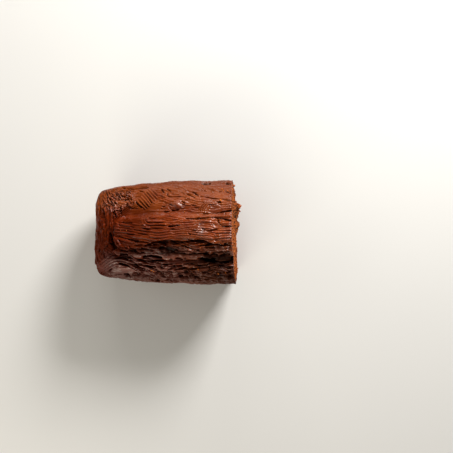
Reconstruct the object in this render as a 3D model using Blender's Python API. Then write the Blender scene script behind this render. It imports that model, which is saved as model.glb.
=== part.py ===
"""A frosted chocolate loaf cake, cut straight across at its right end.

The loaf lies along X on its flat base, with the cut at +X and its rounded end at -X. The sponge
runs through the whole loaf, and the frosting is a thin coat over its top, both sides and its
end, open at the base and at the cut. Sizes in this file are in millimetres until a mesh is made.
"""
import bmesh
import bpy
import numpy as np

MM = 0.001
TINY = 1e-6

# Driving sizes
LENGTH = 156.8  # from the rounded end to the foot of the cut
HEIGHT = 90.0
RIDGE_Y = -4.8  # the domed top peaks a little nearer than the middle of the width
END_REACH = 44.0  # from the rounded end to where its curve meets the straight sides
TOP_FROSTING = 2.0
SIDE_FROSTING = 1.3
GAP = 0.3  # between the frosting and the sponge
RIM_HEIGHT = 0.8  # the frosting's lower edge stops this far above the base

# The cut leans outwards as it goes down, and is a little skew to the loaf.
CUT_LEAN = 0.068
CUT_SKEW = 0.034
CUT_FOOT_X = 77.2
CUT_FOOT_Y = -9.75

# The loaf narrows towards its rounded end.
NARROWING = 0.116
NARROWING_LENGTH = 126.0
NARROWING_LIMIT = 132.0
NARROWING_POWER = 2.8

# The domed top falls towards the rounded end.
DROP = 8.0
DROP_START_X = 6.0
DROP_END_X = -52.0
DROP_POWER = 4

# The loaf's outline at each level, from the rim up to the ridge: the distance out from the ridge
# line and the height, on the near side (-Y), at the rounded end (-X) and on the far side (+Y).
# The sides flare up from the base and are widest at half height. The top has burst open in
# baking: a crown stands up behind a step, which is deep on the near side and slight on the far one.
LEVELS = (
    # near side     rounded end    far side       corner (2 is an ellipse, more is squarer)
    ((40.6, RIM_HEIGHT), (32.5, RIM_HEIGHT), (42.2, RIM_HEIGHT), 7.0),  # rim
    ((45.1, 15.0), (38.6, 14.0), (55.0, 14.0), 7.0),  # flare
    ((50.4, 26.5), (42.6, 27.0), (60.4, 26.5), 7.0),  # bulge
    ((52.0, 40.0), (END_REACH, 40.0), (61.7, 38.0), 6.5),  # widest
    ((47.6, 53.5), (41.0, 53.0), (56.0, 50.5), 5.5),  # above the bulge
    ((41.7, 65.0), (33.5, 64.5), (48.5, 61.5), 4.5),  # top of the side
    ((33.8, 71.8), (25.0, 73.5), (37.5, 71.8), 4.0),  # shoulder
    ((18.0, 71.8), (17.4, 77.5), (24.5, 77.0), 3.5),  # foot of the crown
    ((19.3, 78.0), (16.6, 84.0), (20.8, 83.0), 3.5),  # edge of the crown
    ((9.5, 87.4), (9.0, 88.0), (9.5, 86.8), 3.0),  # flank of the crown
    ((0.0, HEIGHT), (0.0, HEIGHT), (0.0, HEIGHT), 2.0),  # ridge
)
OUT, UP = 0, 1
NEAR, END, FAR, CORNER = range(4)

# The torn step on the near side wanders, and drifts out towards the cut.
STEP_LEVEL = 7.6
STEP_SPREAD = 1.2
STEP_DRIFT = 2.6
STEP_WAVES = ((43.0, 0.9), (27.0, 0.6))

# Waves of the hand-spread surface: length along each axis, and how far they move it.
WAVES = (
    ((61.0, 47.0, 53.0), 0.45),
    ((29.0, 37.0, 31.0), 0.35),
    ((19.0, 15.0, 17.0), 0.25),
)

ROWS = 25
STRAIGHT_COLUMNS = 15
TURN_COLUMNS = 26

FROSTING_COLOUR = (0.130, 0.030, 0.010, 1.0)
SPONGE_COLOUR = (0.230, 0.065, 0.022, 1.0)


def monotone_curve(values, at):
    """Values given at 0, 1, 2 ... joined by a smooth curve that never swings past them."""
    values = np.asarray(values, float)
    steps = np.diff(values)
    slopes = np.zeros_like(values)
    before, after = steps[:-1], steps[1:]
    same_way = before * after > 0
    total = np.where(same_way, before + after, 1.0)
    slopes[1:-1] = np.where(same_way, 2 * before * after / total, 0.0)
    slopes[0], slopes[-1] = steps[0], steps[-1]
    index = np.clip(np.floor(at).astype(int), 0, len(steps) - 1)
    share = at - index
    rise = share**2 * (3 - 2 * share)
    lead = share * (1 - share) ** 2
    trail = share**2 * (share - 1)
    return values[index] + steps[index] * rise + slopes[index] * lead + slopes[index + 1] * trail


def smoothstep(value):
    value = np.clip(value, 0, 1)
    return value**2 * (3 - 2 * value)


def cut_x(y, z):
    """X of the cut's plane."""
    return CUT_FOOT_X - CUT_LEAN * z - CUT_SKEW * (y - CUT_FOOT_Y)


def width_share(x):
    from_cut = np.clip(cut_x(RIDGE_Y, HEIGHT) - x, 0, NARROWING_LIMIT)
    return 1 - NARROWING * (from_cut / NARROWING_LENGTH) ** NARROWING_POWER


def dropped(x, z):
    """A height after the fall of the domed top, which leaves the lower levels as they are."""
    fall = DROP * smoothstep((DROP_START_X - x) / (DROP_START_X - DROP_END_X))
    return z - fall * (z / HEIGHT) ** DROP_POWER


def step_wander(x, level):
    """How far the near side's torn step stands out of its place at each X and level."""
    drift = STEP_DRIFT * smoothstep((x + LENGTH / 2) / LENGTH)
    waves = sum(height * np.sin(2 * np.pi * x / length) for length, height in STEP_WAVES)
    return (drift + waves) * np.exp(-(((level - STEP_LEVEL) / STEP_SPREAD) ** 2))


def unevenness(points):
    """How far the surface stands out at each point."""
    total = np.zeros(points.shape[:-1])
    for number, (lengths, height) in enumerate(WAVES):
        phases = 2 * np.pi * points / lengths + number
        total += height * np.sin(phases[..., 0]) * np.cos(phases[..., 1] + phases[..., 2])
    return total


def normals(grid):
    """Unit normals of a grid of points, facing out."""
    across = np.gradient(grid, axis=1)
    upward = np.gradient(grid, axis=0)
    found = np.cross(upward, across)
    length = np.linalg.norm(found, axis=-1, keepdims=True)
    found = found / np.maximum(length, 1e-9)
    found[-1] = (0.0, 0.0, 1.0)
    return found


def loaf_grid():
    """Points of the smooth loaf: rows from the rim up to the ridge, and columns from the cut along
    the near side, round the end and back along the far side to the cut."""
    level = np.linspace(0, len(LEVELS) - 1, ROWS)
    profiles = [
        [monotone_curve([step[side][axis] for step in LEVELS], level) for axis in (OUT, UP)]
        for side in (NEAR, END, FAR)
    ]
    corner = monotone_curve([step[CORNER] for step in LEVELS], level)
    turn_x = -LENGTH / 2 + END_REACH
    columns = []
    for side, sign in ((NEAR, -1), (FAR, 1)):
        out, up = profiles[side]
        for share in np.linspace(0, 1, STRAIGHT_COLUMNS, endpoint=False):
            x = np.full(ROWS, turn_x)
            for _ in range(3):  # the cut's X depends on the height, which depends on X
                wander = step_wander(x, level) if side == NEAR else 0.0
                y = RIDGE_Y + sign * (out * width_share(x) + wander)
                z = dropped(x, up)
                x = turn_x + (1 - share) * (cut_x(y, z) - turn_x)
            columns.append(np.stack([x, y, z], axis=-1))
    near, far = columns[:STRAIGHT_COLUMNS], columns[STRAIGHT_COLUMNS:]
    turned = []
    for angle in np.linspace(0, np.pi, TURN_COLUMNS):
        side, sign = (NEAR, -1) if angle < np.pi / 2 else (FAR, 1)
        side_out, side_up = np.maximum(profiles[side], TINY)
        end_out, end_up = np.maximum(profiles[END], TINY)
        along, beside = np.sin(angle), abs(np.cos(angle))
        reach = ((beside / side_out) ** corner + (along / end_out) ** corner) ** (-1 / corner)
        x = turn_x - reach * along
        wander = step_wander(x, level) * beside if side == NEAR else 0.0
        y = RIDGE_Y + sign * (reach * beside * width_share(x) + wander)
        up = side_up * (1 - along**2) + end_up * along**2
        turned.append(np.stack([x, y, dropped(x, up)], axis=-1))
    return np.stack(near + turned + far[::-1], axis=1)


def uneven(grid):
    """The grid moved out and in by the waves, with its edges kept on the rim and on the cut."""
    moved = grid + normals(grid) * unevenness(grid)[..., None]
    moved[0, :, 2] = grid[0, :, 2]
    return on_cut(moved)


def centre_of(grid):
    """The middle of the grid's box, at the height of the base."""
    points = grid.reshape(-1, 3)
    middle = (points.min(axis=0) + points.max(axis=0)) / 2
    middle[2] = 0
    return middle


def on_cut(grid):
    """The grid with its first and last columns set on the cut's plane, and its ridge joined."""
    grid = grid.copy()
    middle = (grid[-1] + grid[-1, ::-1]) / 2
    grid[-1] = middle
    for column in (0, -1):
        grid[:, column, 0] = cut_x(grid[:, column, 1], grid[:, column, 2])
    return grid


def inset(grid, side_depth, top_depth, foot_height):
    """The grid moved in along its normals, further where it faces up, and carried on down or cut
    off at the foot's height."""
    facing = normals(grid)
    depth = side_depth + (top_depth - side_depth) * np.clip(facing[..., 2], 0, 1)
    moved = grid - facing * depth[..., None]
    slope = moved[1] - moved[0]
    moved[0] += slope * ((foot_height - moved[0, :, 2]) / slope[:, 2])[:, None]
    return on_cut(moved)


def add_grid(mesh, grid, outwards):
    """Adds a grid's vertices and faces to the mesh, and returns its vertices by row and column."""
    rows, columns = grid.shape[:2]
    made = [[mesh.verts.new(grid[r, c] * MM) for c in range(columns)] for r in range(rows)]
    for r in range(rows - 1):
        for c in range(columns - 1):
            ring = [made[r][c], made[r][c + 1], made[r + 1][c + 1], made[r + 1][c]]
            mesh.faces.new(ring[::-1] if outwards else ring)
    return made


def bridge(mesh, outer, inner):
    """Joins two rows of vertices with a strip of faces."""
    for index in range(len(outer) - 1):
        mesh.faces.new([outer[index], outer[index + 1], inner[index + 1], inner[index]])


def cut_edge(made):
    """The vertices along the cut, from the near foot over the ridge to the far foot."""
    return [row[0] for row in made] + [row[-1] for row in made[::-1]]


def finish_mesh(mesh, name, colour, roughness):
    """Welds the ridge, and makes the object with its own material."""
    bmesh.ops.remove_doubles(mesh, verts=mesh.verts, dist=0.00001)
    bmesh.ops.triangulate(mesh, faces=mesh.faces)
    bmesh.ops.recalc_face_normals(mesh, faces=mesh.faces)
    data = bpy.data.meshes.new(name)
    mesh.to_mesh(data)
    mesh.free()
    data.shade_smooth()
    data.set_sharp_from_angle(angle=np.radians(50))
    made = bpy.data.objects.new(name, data)
    bpy.context.scene.collection.objects.link(made)
    material = bpy.data.materials.new(name)
    material.use_nodes = True
    shader = material.node_tree.nodes["Principled BSDF"]
    shader.inputs["Base Color"].default_value = colour
    shader.inputs["Roughness"].default_value = roughness
    shader.inputs["Metallic"].default_value = 0.0
    data.materials.append(material)
    return made


def make_frosting(surface, origin):
    """The thin coat, with its lower rim and its edge at the cut closed."""
    mesh = bmesh.new()
    outer = add_grid(mesh, surface - origin, outwards=True)
    lining = inset(surface, SIDE_FROSTING, TOP_FROSTING, RIM_HEIGHT)
    inner = add_grid(mesh, lining - origin, outwards=False)
    bridge(mesh, outer[0], inner[0])
    bridge(mesh, cut_edge(outer)[::-1], cut_edge(inner)[::-1])
    finish_mesh(mesh, "frosting", FROSTING_COLOUR, 0.35)


def make_sponge(surface, origin):
    """The crumb under the coat, with a flat base and the flat face of the cut."""
    mesh = bmesh.new()
    skin = inset(surface, SIDE_FROSTING + GAP, TOP_FROSTING + GAP, 0.0)
    made = add_grid(mesh, skin - origin, outwards=True)
    mesh.faces.new(made[0][::-1])
    bmesh.ops.remove_doubles(mesh, verts=[made[-1][0], made[-1][-1]], dist=0.00001)
    face = [vertex for vertex in cut_edge(made) if vertex.is_valid]
    mesh.faces.new(face[::-1])
    finish_mesh(mesh, "sponge", SPONGE_COLOUR, 0.9)


def main():
    for old in list(bpy.data.objects):
        bpy.data.objects.remove(old, do_unlink=True)
    surface = uneven(loaf_grid())
    origin = centre_of(surface)
    make_frosting(surface, origin)
    make_sponge(surface, origin)


main()
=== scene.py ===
"""The looks of a frosted chocolate loaf cake, cut straight across at its right end.

The loaf's smooth form is worked out by the same functions as the frame's solids, in millimetres.
The frosting is that form with the strokes, ledges and cracks of a hand-spread coat raised on it,
and the crumb has a porous, uneven face at the cut. Places read in the photograph are pixels of its
453 x 453 frame, (across, down), in the tables of strokes and of stuck crumbs below. Everything else
is in millimetres, apart from the places in the materials and of the lights, which are in metres.
"""
from collections import namedtuple
from functools import reduce
from itertools import chain, product

import bmesh
import bpy
import numpy as np
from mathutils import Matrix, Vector, kdtree
from mathutils.geometry import delaunay_2d_cdt


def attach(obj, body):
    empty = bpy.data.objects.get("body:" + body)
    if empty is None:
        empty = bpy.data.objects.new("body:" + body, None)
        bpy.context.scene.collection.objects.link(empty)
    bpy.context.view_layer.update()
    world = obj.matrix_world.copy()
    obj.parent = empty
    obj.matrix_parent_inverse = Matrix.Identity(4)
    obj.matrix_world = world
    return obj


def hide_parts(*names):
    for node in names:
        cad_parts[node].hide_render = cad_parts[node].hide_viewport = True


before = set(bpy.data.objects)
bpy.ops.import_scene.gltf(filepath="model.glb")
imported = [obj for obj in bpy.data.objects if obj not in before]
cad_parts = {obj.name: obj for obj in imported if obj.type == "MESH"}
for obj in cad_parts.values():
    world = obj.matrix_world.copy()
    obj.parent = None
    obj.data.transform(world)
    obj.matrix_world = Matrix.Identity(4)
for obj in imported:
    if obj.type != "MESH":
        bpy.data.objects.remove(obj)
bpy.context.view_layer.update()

MM = 0.001
TINY = 1e-6

# ---------------------------------------------------------------- the loaf's form, as in the frame
LENGTH = 156.8
HEIGHT = 90.0
RIDGE_Y = -4.8
END_REACH = 44.0
TOP_FROSTING = 2.0
SIDE_FROSTING = 1.3
RIM_HEIGHT = 0.8
CUT_LEAN = 0.068
CUT_SKEW = 0.034
CUT_FOOT_X = 77.2
CUT_FOOT_Y = -9.75
NARROWING = 0.116
NARROWING_LENGTH = 126.0
NARROWING_LIMIT = 132.0
NARROWING_POWER = 2.8
DROP = 8.0
DROP_START_X = 6.0
DROP_END_X = -52.0
DROP_POWER = 4
LEVELS = (
    # near side     rounded end    far side       corner (2 is an ellipse, more is squarer)
    ((40.6, RIM_HEIGHT), (32.5, RIM_HEIGHT), (42.2, RIM_HEIGHT), 7.0),  # rim
    ((45.1, 15.0), (38.6, 14.0), (55.0, 14.0), 7.0),  # flare
    ((50.4, 26.5), (42.6, 27.0), (60.4, 26.5), 7.0),  # bulge
    ((52.0, 40.0), (END_REACH, 40.0), (61.7, 38.0), 6.5),  # widest
    ((47.6, 53.5), (41.0, 53.0), (56.0, 50.5), 5.5),  # above the bulge
    ((41.7, 65.0), (33.5, 64.5), (48.5, 61.5), 4.5),  # top of the side
    ((33.8, 71.8), (25.0, 73.5), (37.5, 71.8), 4.0),  # shoulder
    ((18.0, 71.8), (17.4, 77.5), (24.5, 77.0), 3.5),  # foot of the crown
    ((19.3, 78.0), (16.6, 84.0), (20.8, 83.0), 3.5),  # edge of the crown
    ((9.5, 87.4), (9.0, 88.0), (9.5, 86.8), 3.0),  # flank of the crown
    ((0.0, HEIGHT), (0.0, HEIGHT), (0.0, HEIGHT), 2.0),  # ridge
)
OUT, UP = 0, 1
NEAR, END, FAR, CORNER = range(4)
WIDEST, TOP_OF_SIDE = 3, 5  # places in the table above
STEP_LEVEL = 7.6
STEP_SPREAD = 1.2
STEP_DRIFT = 2.6
STEP_WAVES = ((43.0, 0.9), (27.0, 0.6))
WAVES = (
    ((61.0, 47.0, 53.0), 0.45),
    ((29.0, 37.0, 31.0), 0.35),
    ((19.0, 15.0, 17.0), 0.25),
)
FRAME_ROWS = 25
FRAME_STRAIGHT_COLUMNS = 15
FRAME_TURN_COLUMNS = 26

# ---------------------------------------------------------------- the photograph's view
PICTURE = 453
CAMERA = (65.9, 6.0, 700.0)  # looks straight down, with +X to the right and +Y up the picture
LENS = 47.5
SENSOR = 36.0
FOCAL = LENS / SENSOR * PICTURE

# ---------------------------------------------------------------- fineness of the meshes
UPPER_SPACING = 0.38  # between the frosting's points above the widest level
LOWER_SPACING = 0.80
COLUMN_SPACING = 0.62
FROSTING_FACES = 190000
EDGE_BAND = 4.5  # beside the cut, where the coat thins out to its thickness in the frame
# How far round a point its hollowness is judged, in rows and columns, and the weight of that.
# The coat's material paints shade in the hollows by this.
HOLLOW_REACHES = (((5, 3), 1.0), ((14, 8), 0.6))
FACE_SPACING = 0.37  # between the points of the crumb's face
ROW_SHARE = 0.866  # of that, between its rows, which makes the triangles even
POINT_STRAY = 0.05  # how far out of place its points are
PORE_CELL = 0.25  # of the raster that the pores are worked out on
LEVEL_SAMPLES, ANGLE_SAMPLES = 3000, 2000  # that the rows and the turn's columns are spaced by
COAT_WELD, CRUMB_WELD = 0.02 * MM, 0.01 * MM  # points as near as this are joined

# ---------------------------------------------------------------- random seeds
STROKES_SEED, LOW_STROKES_SEED, CRUMB_SEED, CRUMBS_SEED = 20, 21, 31, 57
FIRST_SEEDS = {"bundle": 100, "hairpin": 400, "ledge": 500, "ridge": 600, "groove": 800}
SEED_STEP = 11


def monotone_curve(values, at):
    """Values given at 0, 1, 2 ... joined by a smooth curve that never swings past them."""
    values = np.asarray(values, float)
    steps = np.diff(values)
    slopes = np.zeros_like(values)
    before, after = steps[:-1], steps[1:]
    same_way = before * after > 0
    total = np.where(same_way, before + after, 1.0)
    slopes[1:-1] = np.where(same_way, 2 * before * after / total, 0.0)
    slopes[0], slopes[-1] = steps[0], steps[-1]
    index = np.clip(np.floor(at).astype(int), 0, len(steps) - 1)
    share = at - index
    rise = share**2 * (3 - 2 * share)
    lead = share * (1 - share) ** 2
    trail = share**2 * (share - 1)
    return values[index] + steps[index] * rise + slopes[index] * lead + slopes[index + 1] * trail


def smoothstep(value):
    value = np.clip(value, 0, 1)
    return value**2 * (3 - 2 * value)


def cut_x(y, z):
    """X of the cut's plane."""
    return CUT_FOOT_X - CUT_LEAN * z - CUT_SKEW * (y - CUT_FOOT_Y)


def width_share(x):
    from_cut = np.clip(cut_x(RIDGE_Y, HEIGHT) - x, 0, NARROWING_LIMIT)
    return 1 - NARROWING * (from_cut / NARROWING_LENGTH) ** NARROWING_POWER


def dropped(x, z):
    """A height after the fall of the domed top, which leaves the lower levels as they are."""
    fall = DROP * smoothstep((DROP_START_X - x) / (DROP_START_X - DROP_END_X))
    return z - fall * (z / HEIGHT) ** DROP_POWER


def step_wander(x, level):
    """How far the near side's torn step stands out of its place at each X and level."""
    drift = STEP_DRIFT * smoothstep((x + LENGTH / 2) / LENGTH)
    waves = sum(height * np.sin(2 * np.pi * x / length) for length, height in STEP_WAVES)
    return (drift + waves) * np.exp(-(((level - STEP_LEVEL) / STEP_SPREAD) ** 2))


def unevenness(points):
    """How far the surface stands out at each point."""
    total = np.zeros(points.shape[:-1])
    for number, (lengths, height) in enumerate(WAVES):
        phases = 2 * np.pi * points / lengths + number
        total += height * np.sin(phases[..., 0]) * np.cos(phases[..., 1] + phases[..., 2])
    return total


def normals(grid):
    """Unit normals of a grid of points, facing out."""
    across = np.gradient(grid, axis=1)
    upward = np.gradient(grid, axis=0)
    found = np.cross(upward, across)
    length = np.linalg.norm(found, axis=-1, keepdims=True)
    found = found / np.maximum(length, 1e-9)
    found[-1] = (0.0, 0.0, 1.0)
    return found


def profiles_at(level):
    """The near, end and far profiles, each as (out, up), at each level."""
    return [
        [monotone_curve([step[side][axis] for step in LEVELS], level) for axis in (OUT, UP)]
        for side in (NEAR, END, FAR)
    ]


def loaf_grid(level, shares, angles):
    """Points of the smooth loaf: rows from the rim up to the ridge, and columns from the cut along
    the near side, round the end and back along the far side to the cut."""
    profiles = profiles_at(level)
    corner = monotone_curve([step[CORNER] for step in LEVELS], level)
    turn_x = -LENGTH / 2 + END_REACH
    columns = []
    for side, sign in ((NEAR, -1), (FAR, 1)):
        out, up = profiles[side]
        for share in shares:
            x = np.full(len(level), turn_x)
            for _ in range(3):  # the cut's X depends on the height, which depends on X
                wander = step_wander(x, level) if side == NEAR else 0.0
                y = RIDGE_Y + sign * (out * width_share(x) + wander)
                z = dropped(x, up)
                x = turn_x + (1 - share) * (cut_x(y, z) - turn_x)
            columns.append(np.stack([x, y, z], axis=-1))
    near, far = columns[: len(shares)], columns[len(shares) :]
    turned = []
    for angle in angles:
        side, sign = (NEAR, -1) if angle < np.pi / 2 else (FAR, 1)
        side_out, side_up = np.maximum(profiles[side], TINY)
        end_out, end_up = np.maximum(profiles[END], TINY)
        along, beside = np.sin(angle), abs(np.cos(angle))
        reach = ((beside / side_out) ** corner + (along / end_out) ** corner) ** (-1 / corner)
        x = turn_x - reach * along
        wander = step_wander(x, level) * beside if side == NEAR else 0.0
        y = RIDGE_Y + sign * (reach * beside * width_share(x) + wander)
        up = side_up * (1 - along**2) + end_up * along**2
        turned.append(np.stack([x, y, dropped(x, up)], axis=-1))
    return np.stack(near + turned + far[::-1], axis=1)


def on_cut(grid):
    """The grid with its first and last columns set on the cut's plane, and its ridge joined."""
    grid = grid.copy()
    grid[-1] = (grid[-1] + grid[-1, ::-1]) / 2
    for column in (0, -1):
        grid[:, column, 0] = cut_x(grid[:, column, 1], grid[:, column, 2])
    return grid


def uneven(grid):
    """The grid moved out and in by the waves, with its edges kept on the rim and on the cut."""
    moved = grid + normals(grid) * unevenness(grid)[..., None]
    moved[0, :, 2] = grid[0, :, 2]
    return on_cut(moved)


def frame_origin():
    """The middle of the frame's loaf, at the height of its base."""
    level = np.linspace(0, len(LEVELS) - 1, FRAME_ROWS)
    shares = np.linspace(0, 1, FRAME_STRAIGHT_COLUMNS, endpoint=False)
    angles = np.linspace(0, np.pi, FRAME_TURN_COLUMNS)
    points = uneven(loaf_grid(level, shares, angles)).reshape(-1, 3)
    middle = (points.min(axis=0) + points.max(axis=0)) / 2
    middle[2] = 0
    return middle


def even_share(weights, spacings, values):
    """Values picked so that they lie one unit of weight apart, as near as whole numbers allow."""
    total = np.concatenate([[0], np.cumsum(weights / spacings)])
    return np.interp(np.linspace(0, total[-1], int(total[-1]) + 2), total, values)


def fine_levels():
    """Levels of rows that are evenly spaced up the profile, closer above the widest level."""
    level = np.linspace(0, len(LEVELS) - 1, LEVEL_SAMPLES)
    lengths = np.mean([np.hypot(*np.diff(profile)) for profile in profiles_at(level)], axis=0)
    spacings = np.where(level[1:] < WIDEST, LOWER_SPACING, UPPER_SPACING)
    return even_share(lengths, spacings, level)


def fine_angles():
    """Angles of the turn's columns that are evenly spaced along the outline."""
    angles = np.linspace(0, np.pi, ANGLE_SAMPLES)
    outline = loaf_grid(np.array([WIDEST, WIDEST]), (0.0,), angles)[0, 1:-1]
    lengths = np.linalg.norm(np.diff(outline, axis=0), axis=-1)
    return even_share(lengths, COLUMN_SPACING, angles)


# ---------------------------------------------------------------- noise
def lattice_value(cells, seed):
    """A number from -1 to 1 for each cell of a lattice, the same each time for the same cell."""
    mixed = np.full(cells.shape[:-1], (seed * 374761393 + 668265263) % 2**32, np.uint32)
    for axis in range(cells.shape[-1]):
        mixed = (mixed ^ cells[..., axis].astype(np.uint32)) * np.uint32(2654435761)
        mixed ^= mixed >> np.uint32(15)
    mixed = mixed * np.uint32(2246822519)
    mixed ^= mixed >> np.uint32(13)
    return mixed / 2.0**31 - 1.0


def noise(points, size, seed):
    """Smooth unevenness from -1 to 1, its bumps about as long as size along each axis."""
    at = np.asarray(points) / size
    base = np.floor(at).astype(np.int64)
    share = at - base
    share = share**3 * (share * (share * 6 - 15) + 10)
    total = np.zeros(at.shape[:-1])
    for corner in product((0, 1), repeat=at.shape[-1]):
        weight = np.prod(np.where(np.array(corner) == 1, share, 1 - share), axis=-1)
        total += weight * lattice_value(base + np.array(corner), seed)
    return total


def rough(points, size, seed, octaves):
    """Noise of several sizes, each half as large and half as strong as the one before."""
    return sum(noise(points, size / 2**n, seed + n) / 2**n for n in range(octaves))


def layers(points, table):
    """Noise from a table of heights, sizes and seeds, added up."""
    return sum(height * noise(points, size, seed) for height, size, seed in table)


# ---------------------------------------------------------------- strokes of the frosting
SUNK = 0.3  # how much of a ridge's height lies below the coat's level


def photo_place(points):
    """Where points of the loaf are in the photograph: pixels across and down."""
    scale = FOCAL / (CAMERA[2] - points[..., 2])
    across = PICTURE / 2 + (points[..., 0] - CAMERA[0]) * scale
    down = PICTURE / 2 - (points[..., 1] - CAMERA[1]) * scale
    return across, down


def rounded(path):
    """A path with its corners cut off twice, so that it bends smoothly."""
    path = np.asarray(path, float)
    for _ in range(2):
        before, after = path[:-1], path[1:]
        cut = np.stack([0.75 * before + 0.25 * after, 0.25 * before + 0.75 * after], axis=1)
        path = np.concatenate([path[:1], cut.reshape(-1, 2), path[-1:]])
    return path


def beside_path(across, down, path):
    """For each place: how far along the path its nearest point is, how far to the path's right the
    place lies, how far it is from the path at all, and the path's length."""
    nearest = np.full(across.shape, np.inf)
    along = np.zeros(across.shape)
    right = np.zeros(across.shape)
    start = 0.0
    for (x0, y0), (x1, y1) in zip(path[:-1], path[1:]):
        length = np.hypot(x1 - x0, y1 - y0)
        dx, dy = (x1 - x0) / length, (y1 - y0) / length
        run = (across - x0) * dx + (down - y0) * dy
        side = (down - y0) * dx - (across - x0) * dy
        away = np.hypot(side, run - np.clip(run, 0, length))
        closer = away < nearest
        nearest = np.where(closer, away, nearest)
        along = np.where(closer, start + run, along)
        right = np.where(closer, side, right)
        start += length
    return along, right, nearest, start


def crests(phase):
    """Narrow ridges about 0 to 1 high, one at each whole number, with wide round valleys."""
    return 1.08 - np.sqrt(np.sin(np.pi * phase) ** 2 + 0.03)


def ridged(along, across, spacing, seed):
    """Ridges that run along, from 0 to 1 high, which wander and vary in strength."""
    place = np.stack([along, across], axis=-1)
    phase = across / spacing + 0.35 * noise(place, (6.0 * spacing, 3.5 * spacing), seed)
    number = np.round(phase)
    strength_at = np.stack([along, number * 7.0], axis=-1)
    strength = 0.72 + 0.4 * noise(strength_at, (5.5 * spacing, 1.0), seed + 1)
    return crests(phase) * strength


def rotated(x, y, angle):
    """How far places lie along a direction turned by an angle, and how far beside it."""
    return x * np.cos(angle) + y * np.sin(angle), y * np.cos(angle) - x * np.sin(angle)


def dab(relief, along, across, half_length, half_width, manner, seed):
    """Lays one stroke over the relief: ridges along it, one edge lifted and a firm border."""
    place = np.stack([along, across], axis=-1)
    bow = manner.bow * np.cos(1.3 * along / half_length + seed)
    across = across + bow + 0.12 * half_width * noise(place, (7.0, 4.0), seed + 5)
    border = (np.abs(along) / half_length) ** 3 + (np.abs(across) / half_width) ** 3
    mask = smoothstep((1 - border) * manner.firmness)
    height = manner.ridge * (ridged(along, across, manner.spacing, seed) - SUNK)
    height = height + manner.lift * across / half_width
    return relief + mask * manner.cover * (height - relief)


# Manners of stroke: spacing and height of its ridges, how much one edge is lifted, how far it bows,
# firmness of its border, share of what lies under it that it covers, stray of its direction.
Manner = namedtuple("Manner", "spacing ridge lift bow firmness cover stray")
BARK = Manner(2.9, 1.4, -1.9, 1.2, 5.0, 0.9, 0.13)
BAND = Manner(2.9, 1.9, 0.5, 0.7, 4.0, 0.85, 0.12)
SOFT = Manner(2.4, 2.0, -0.4, 0.8, 3.0, 0.8, 0.07)
CROWN = Manner(2.6, 1.3, 0.3, 0.5, 3.0, 0.8, 0.08)

# Strokes over the walls: first and last place along the outline as shares of its three stretches
# (0 to 1 near side, 1 to 2 rounded end, 2 to 3 far side), first and last level, how many, half
# length, half width, manner.
WALL_STROKES = (
    ((-0.03, 1.05), (0.0, 8.4), 230, (5.0, 13.0), (2.0, 4.4), BARK),
    ((0.95, 2.1), (0.0, 7.9), 240, (5.0, 12.0), (2.0, 4.2), BAND),
    ((1.95, 3.03), (0.0, 7.4), 150, (8.0, 19.0), (2.4, 4.6), SOFT),
)
LOW_FAR_STROKES = (((1.7, 3.03), (0.0, 3.0), 150, (5.0, 13.0), (2.0, 4.2), BAND),)

# The walls' grid: how far each column is round the loaf, how far each point is up the wall, the
# level of each row, and where the three stretches and one more on each side end round the loaf.
Walls = namedtuple("Walls", "round_at up_at level ends")
BEYOND_CUT = 100.0  # length of the stretches on each side, for strokes whose middle is past the cut


def walls_of(grid, level, stretches):
    """The walls of a grid, from its rows' levels and the columns where its stretches meet."""
    steps = np.linalg.norm(np.diff(grid, axis=0), axis=-1)
    up_at = np.concatenate([np.zeros((1, grid.shape[1])), np.cumsum(steps, axis=0)])
    round_steps = np.linalg.norm(np.diff(grid[np.searchsorted(level, WIDEST)], axis=0), axis=-1)
    round_at = np.concatenate([[0], np.cumsum(round_steps)])
    ends = round_at[[0, *stretches, -1]]
    ends = np.concatenate([[ends[0] - BEYOND_CUT], ends, [ends[-1] + BEYOND_CUT]])
    return Walls(round_at, up_at, level, ends)


def outline_place(walls, share):
    """How far round the loaf a place is that is given as a share of the stretches."""
    return np.interp(share, np.arange(-1, 5), walls.ends)


def columns_by(walls, place, reach):
    """Where the columns within reach of a place round the loaf start and end, and their middle."""
    start, end = np.searchsorted(walls.round_at, (place - reach, place + reach))
    return start, end, min((start + end) // 2, len(walls.round_at) - 1)


def wall_patch(walls, start, end, column, place, up, spread):
    """The part of the grid round a place on the walls, and how far its points are from it."""
    low, high = np.searchsorted(walls.up_at[:, column], (up - spread, up + spread))
    here = (slice(low, high), slice(start, end))
    x = (walls.round_at[None, start:end] - place) * np.ones_like(walls.up_at[here])
    return here, x, walls.up_at[here] - up


def lay_wall_strokes(relief, table, walls, rng):
    """Lays a table's strokes over the walls, in a random order."""
    strokes = []
    for (first, last), levels, count, lengths, widths, manner in table:
        middle = np.searchsorted(walls.round_at, outline_place(walls, (first + last) / 2))
        low, high = np.interp(levels, walls.level, walls.up_at[:, middle])
        for _ in range(count):
            place = outline_place(walls, rng.uniform(first, last))
            up = rng.uniform(low, high)
            strokes.append((place, up, rng.uniform(*lengths), rng.uniform(*widths), manner))
    for number in rng.permutation(len(strokes)):
        place, up, half_length, half_width, manner = strokes[number]
        turn = rng.normal(0, manner.stray)
        reach = half_length + 3
        start, end, column = columns_by(walls, place, reach)
        if end - start < 2:
            continue
        spread = half_width + 3 + reach * abs(np.sin(turn))
        here, x, y = wall_patch(walls, start, end, column, place, up, spread)
        along, across = rotated(x, y, turn)
        relief[here] = dab(relief[here], along, across, half_length, half_width, manner, 7 * number)


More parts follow.
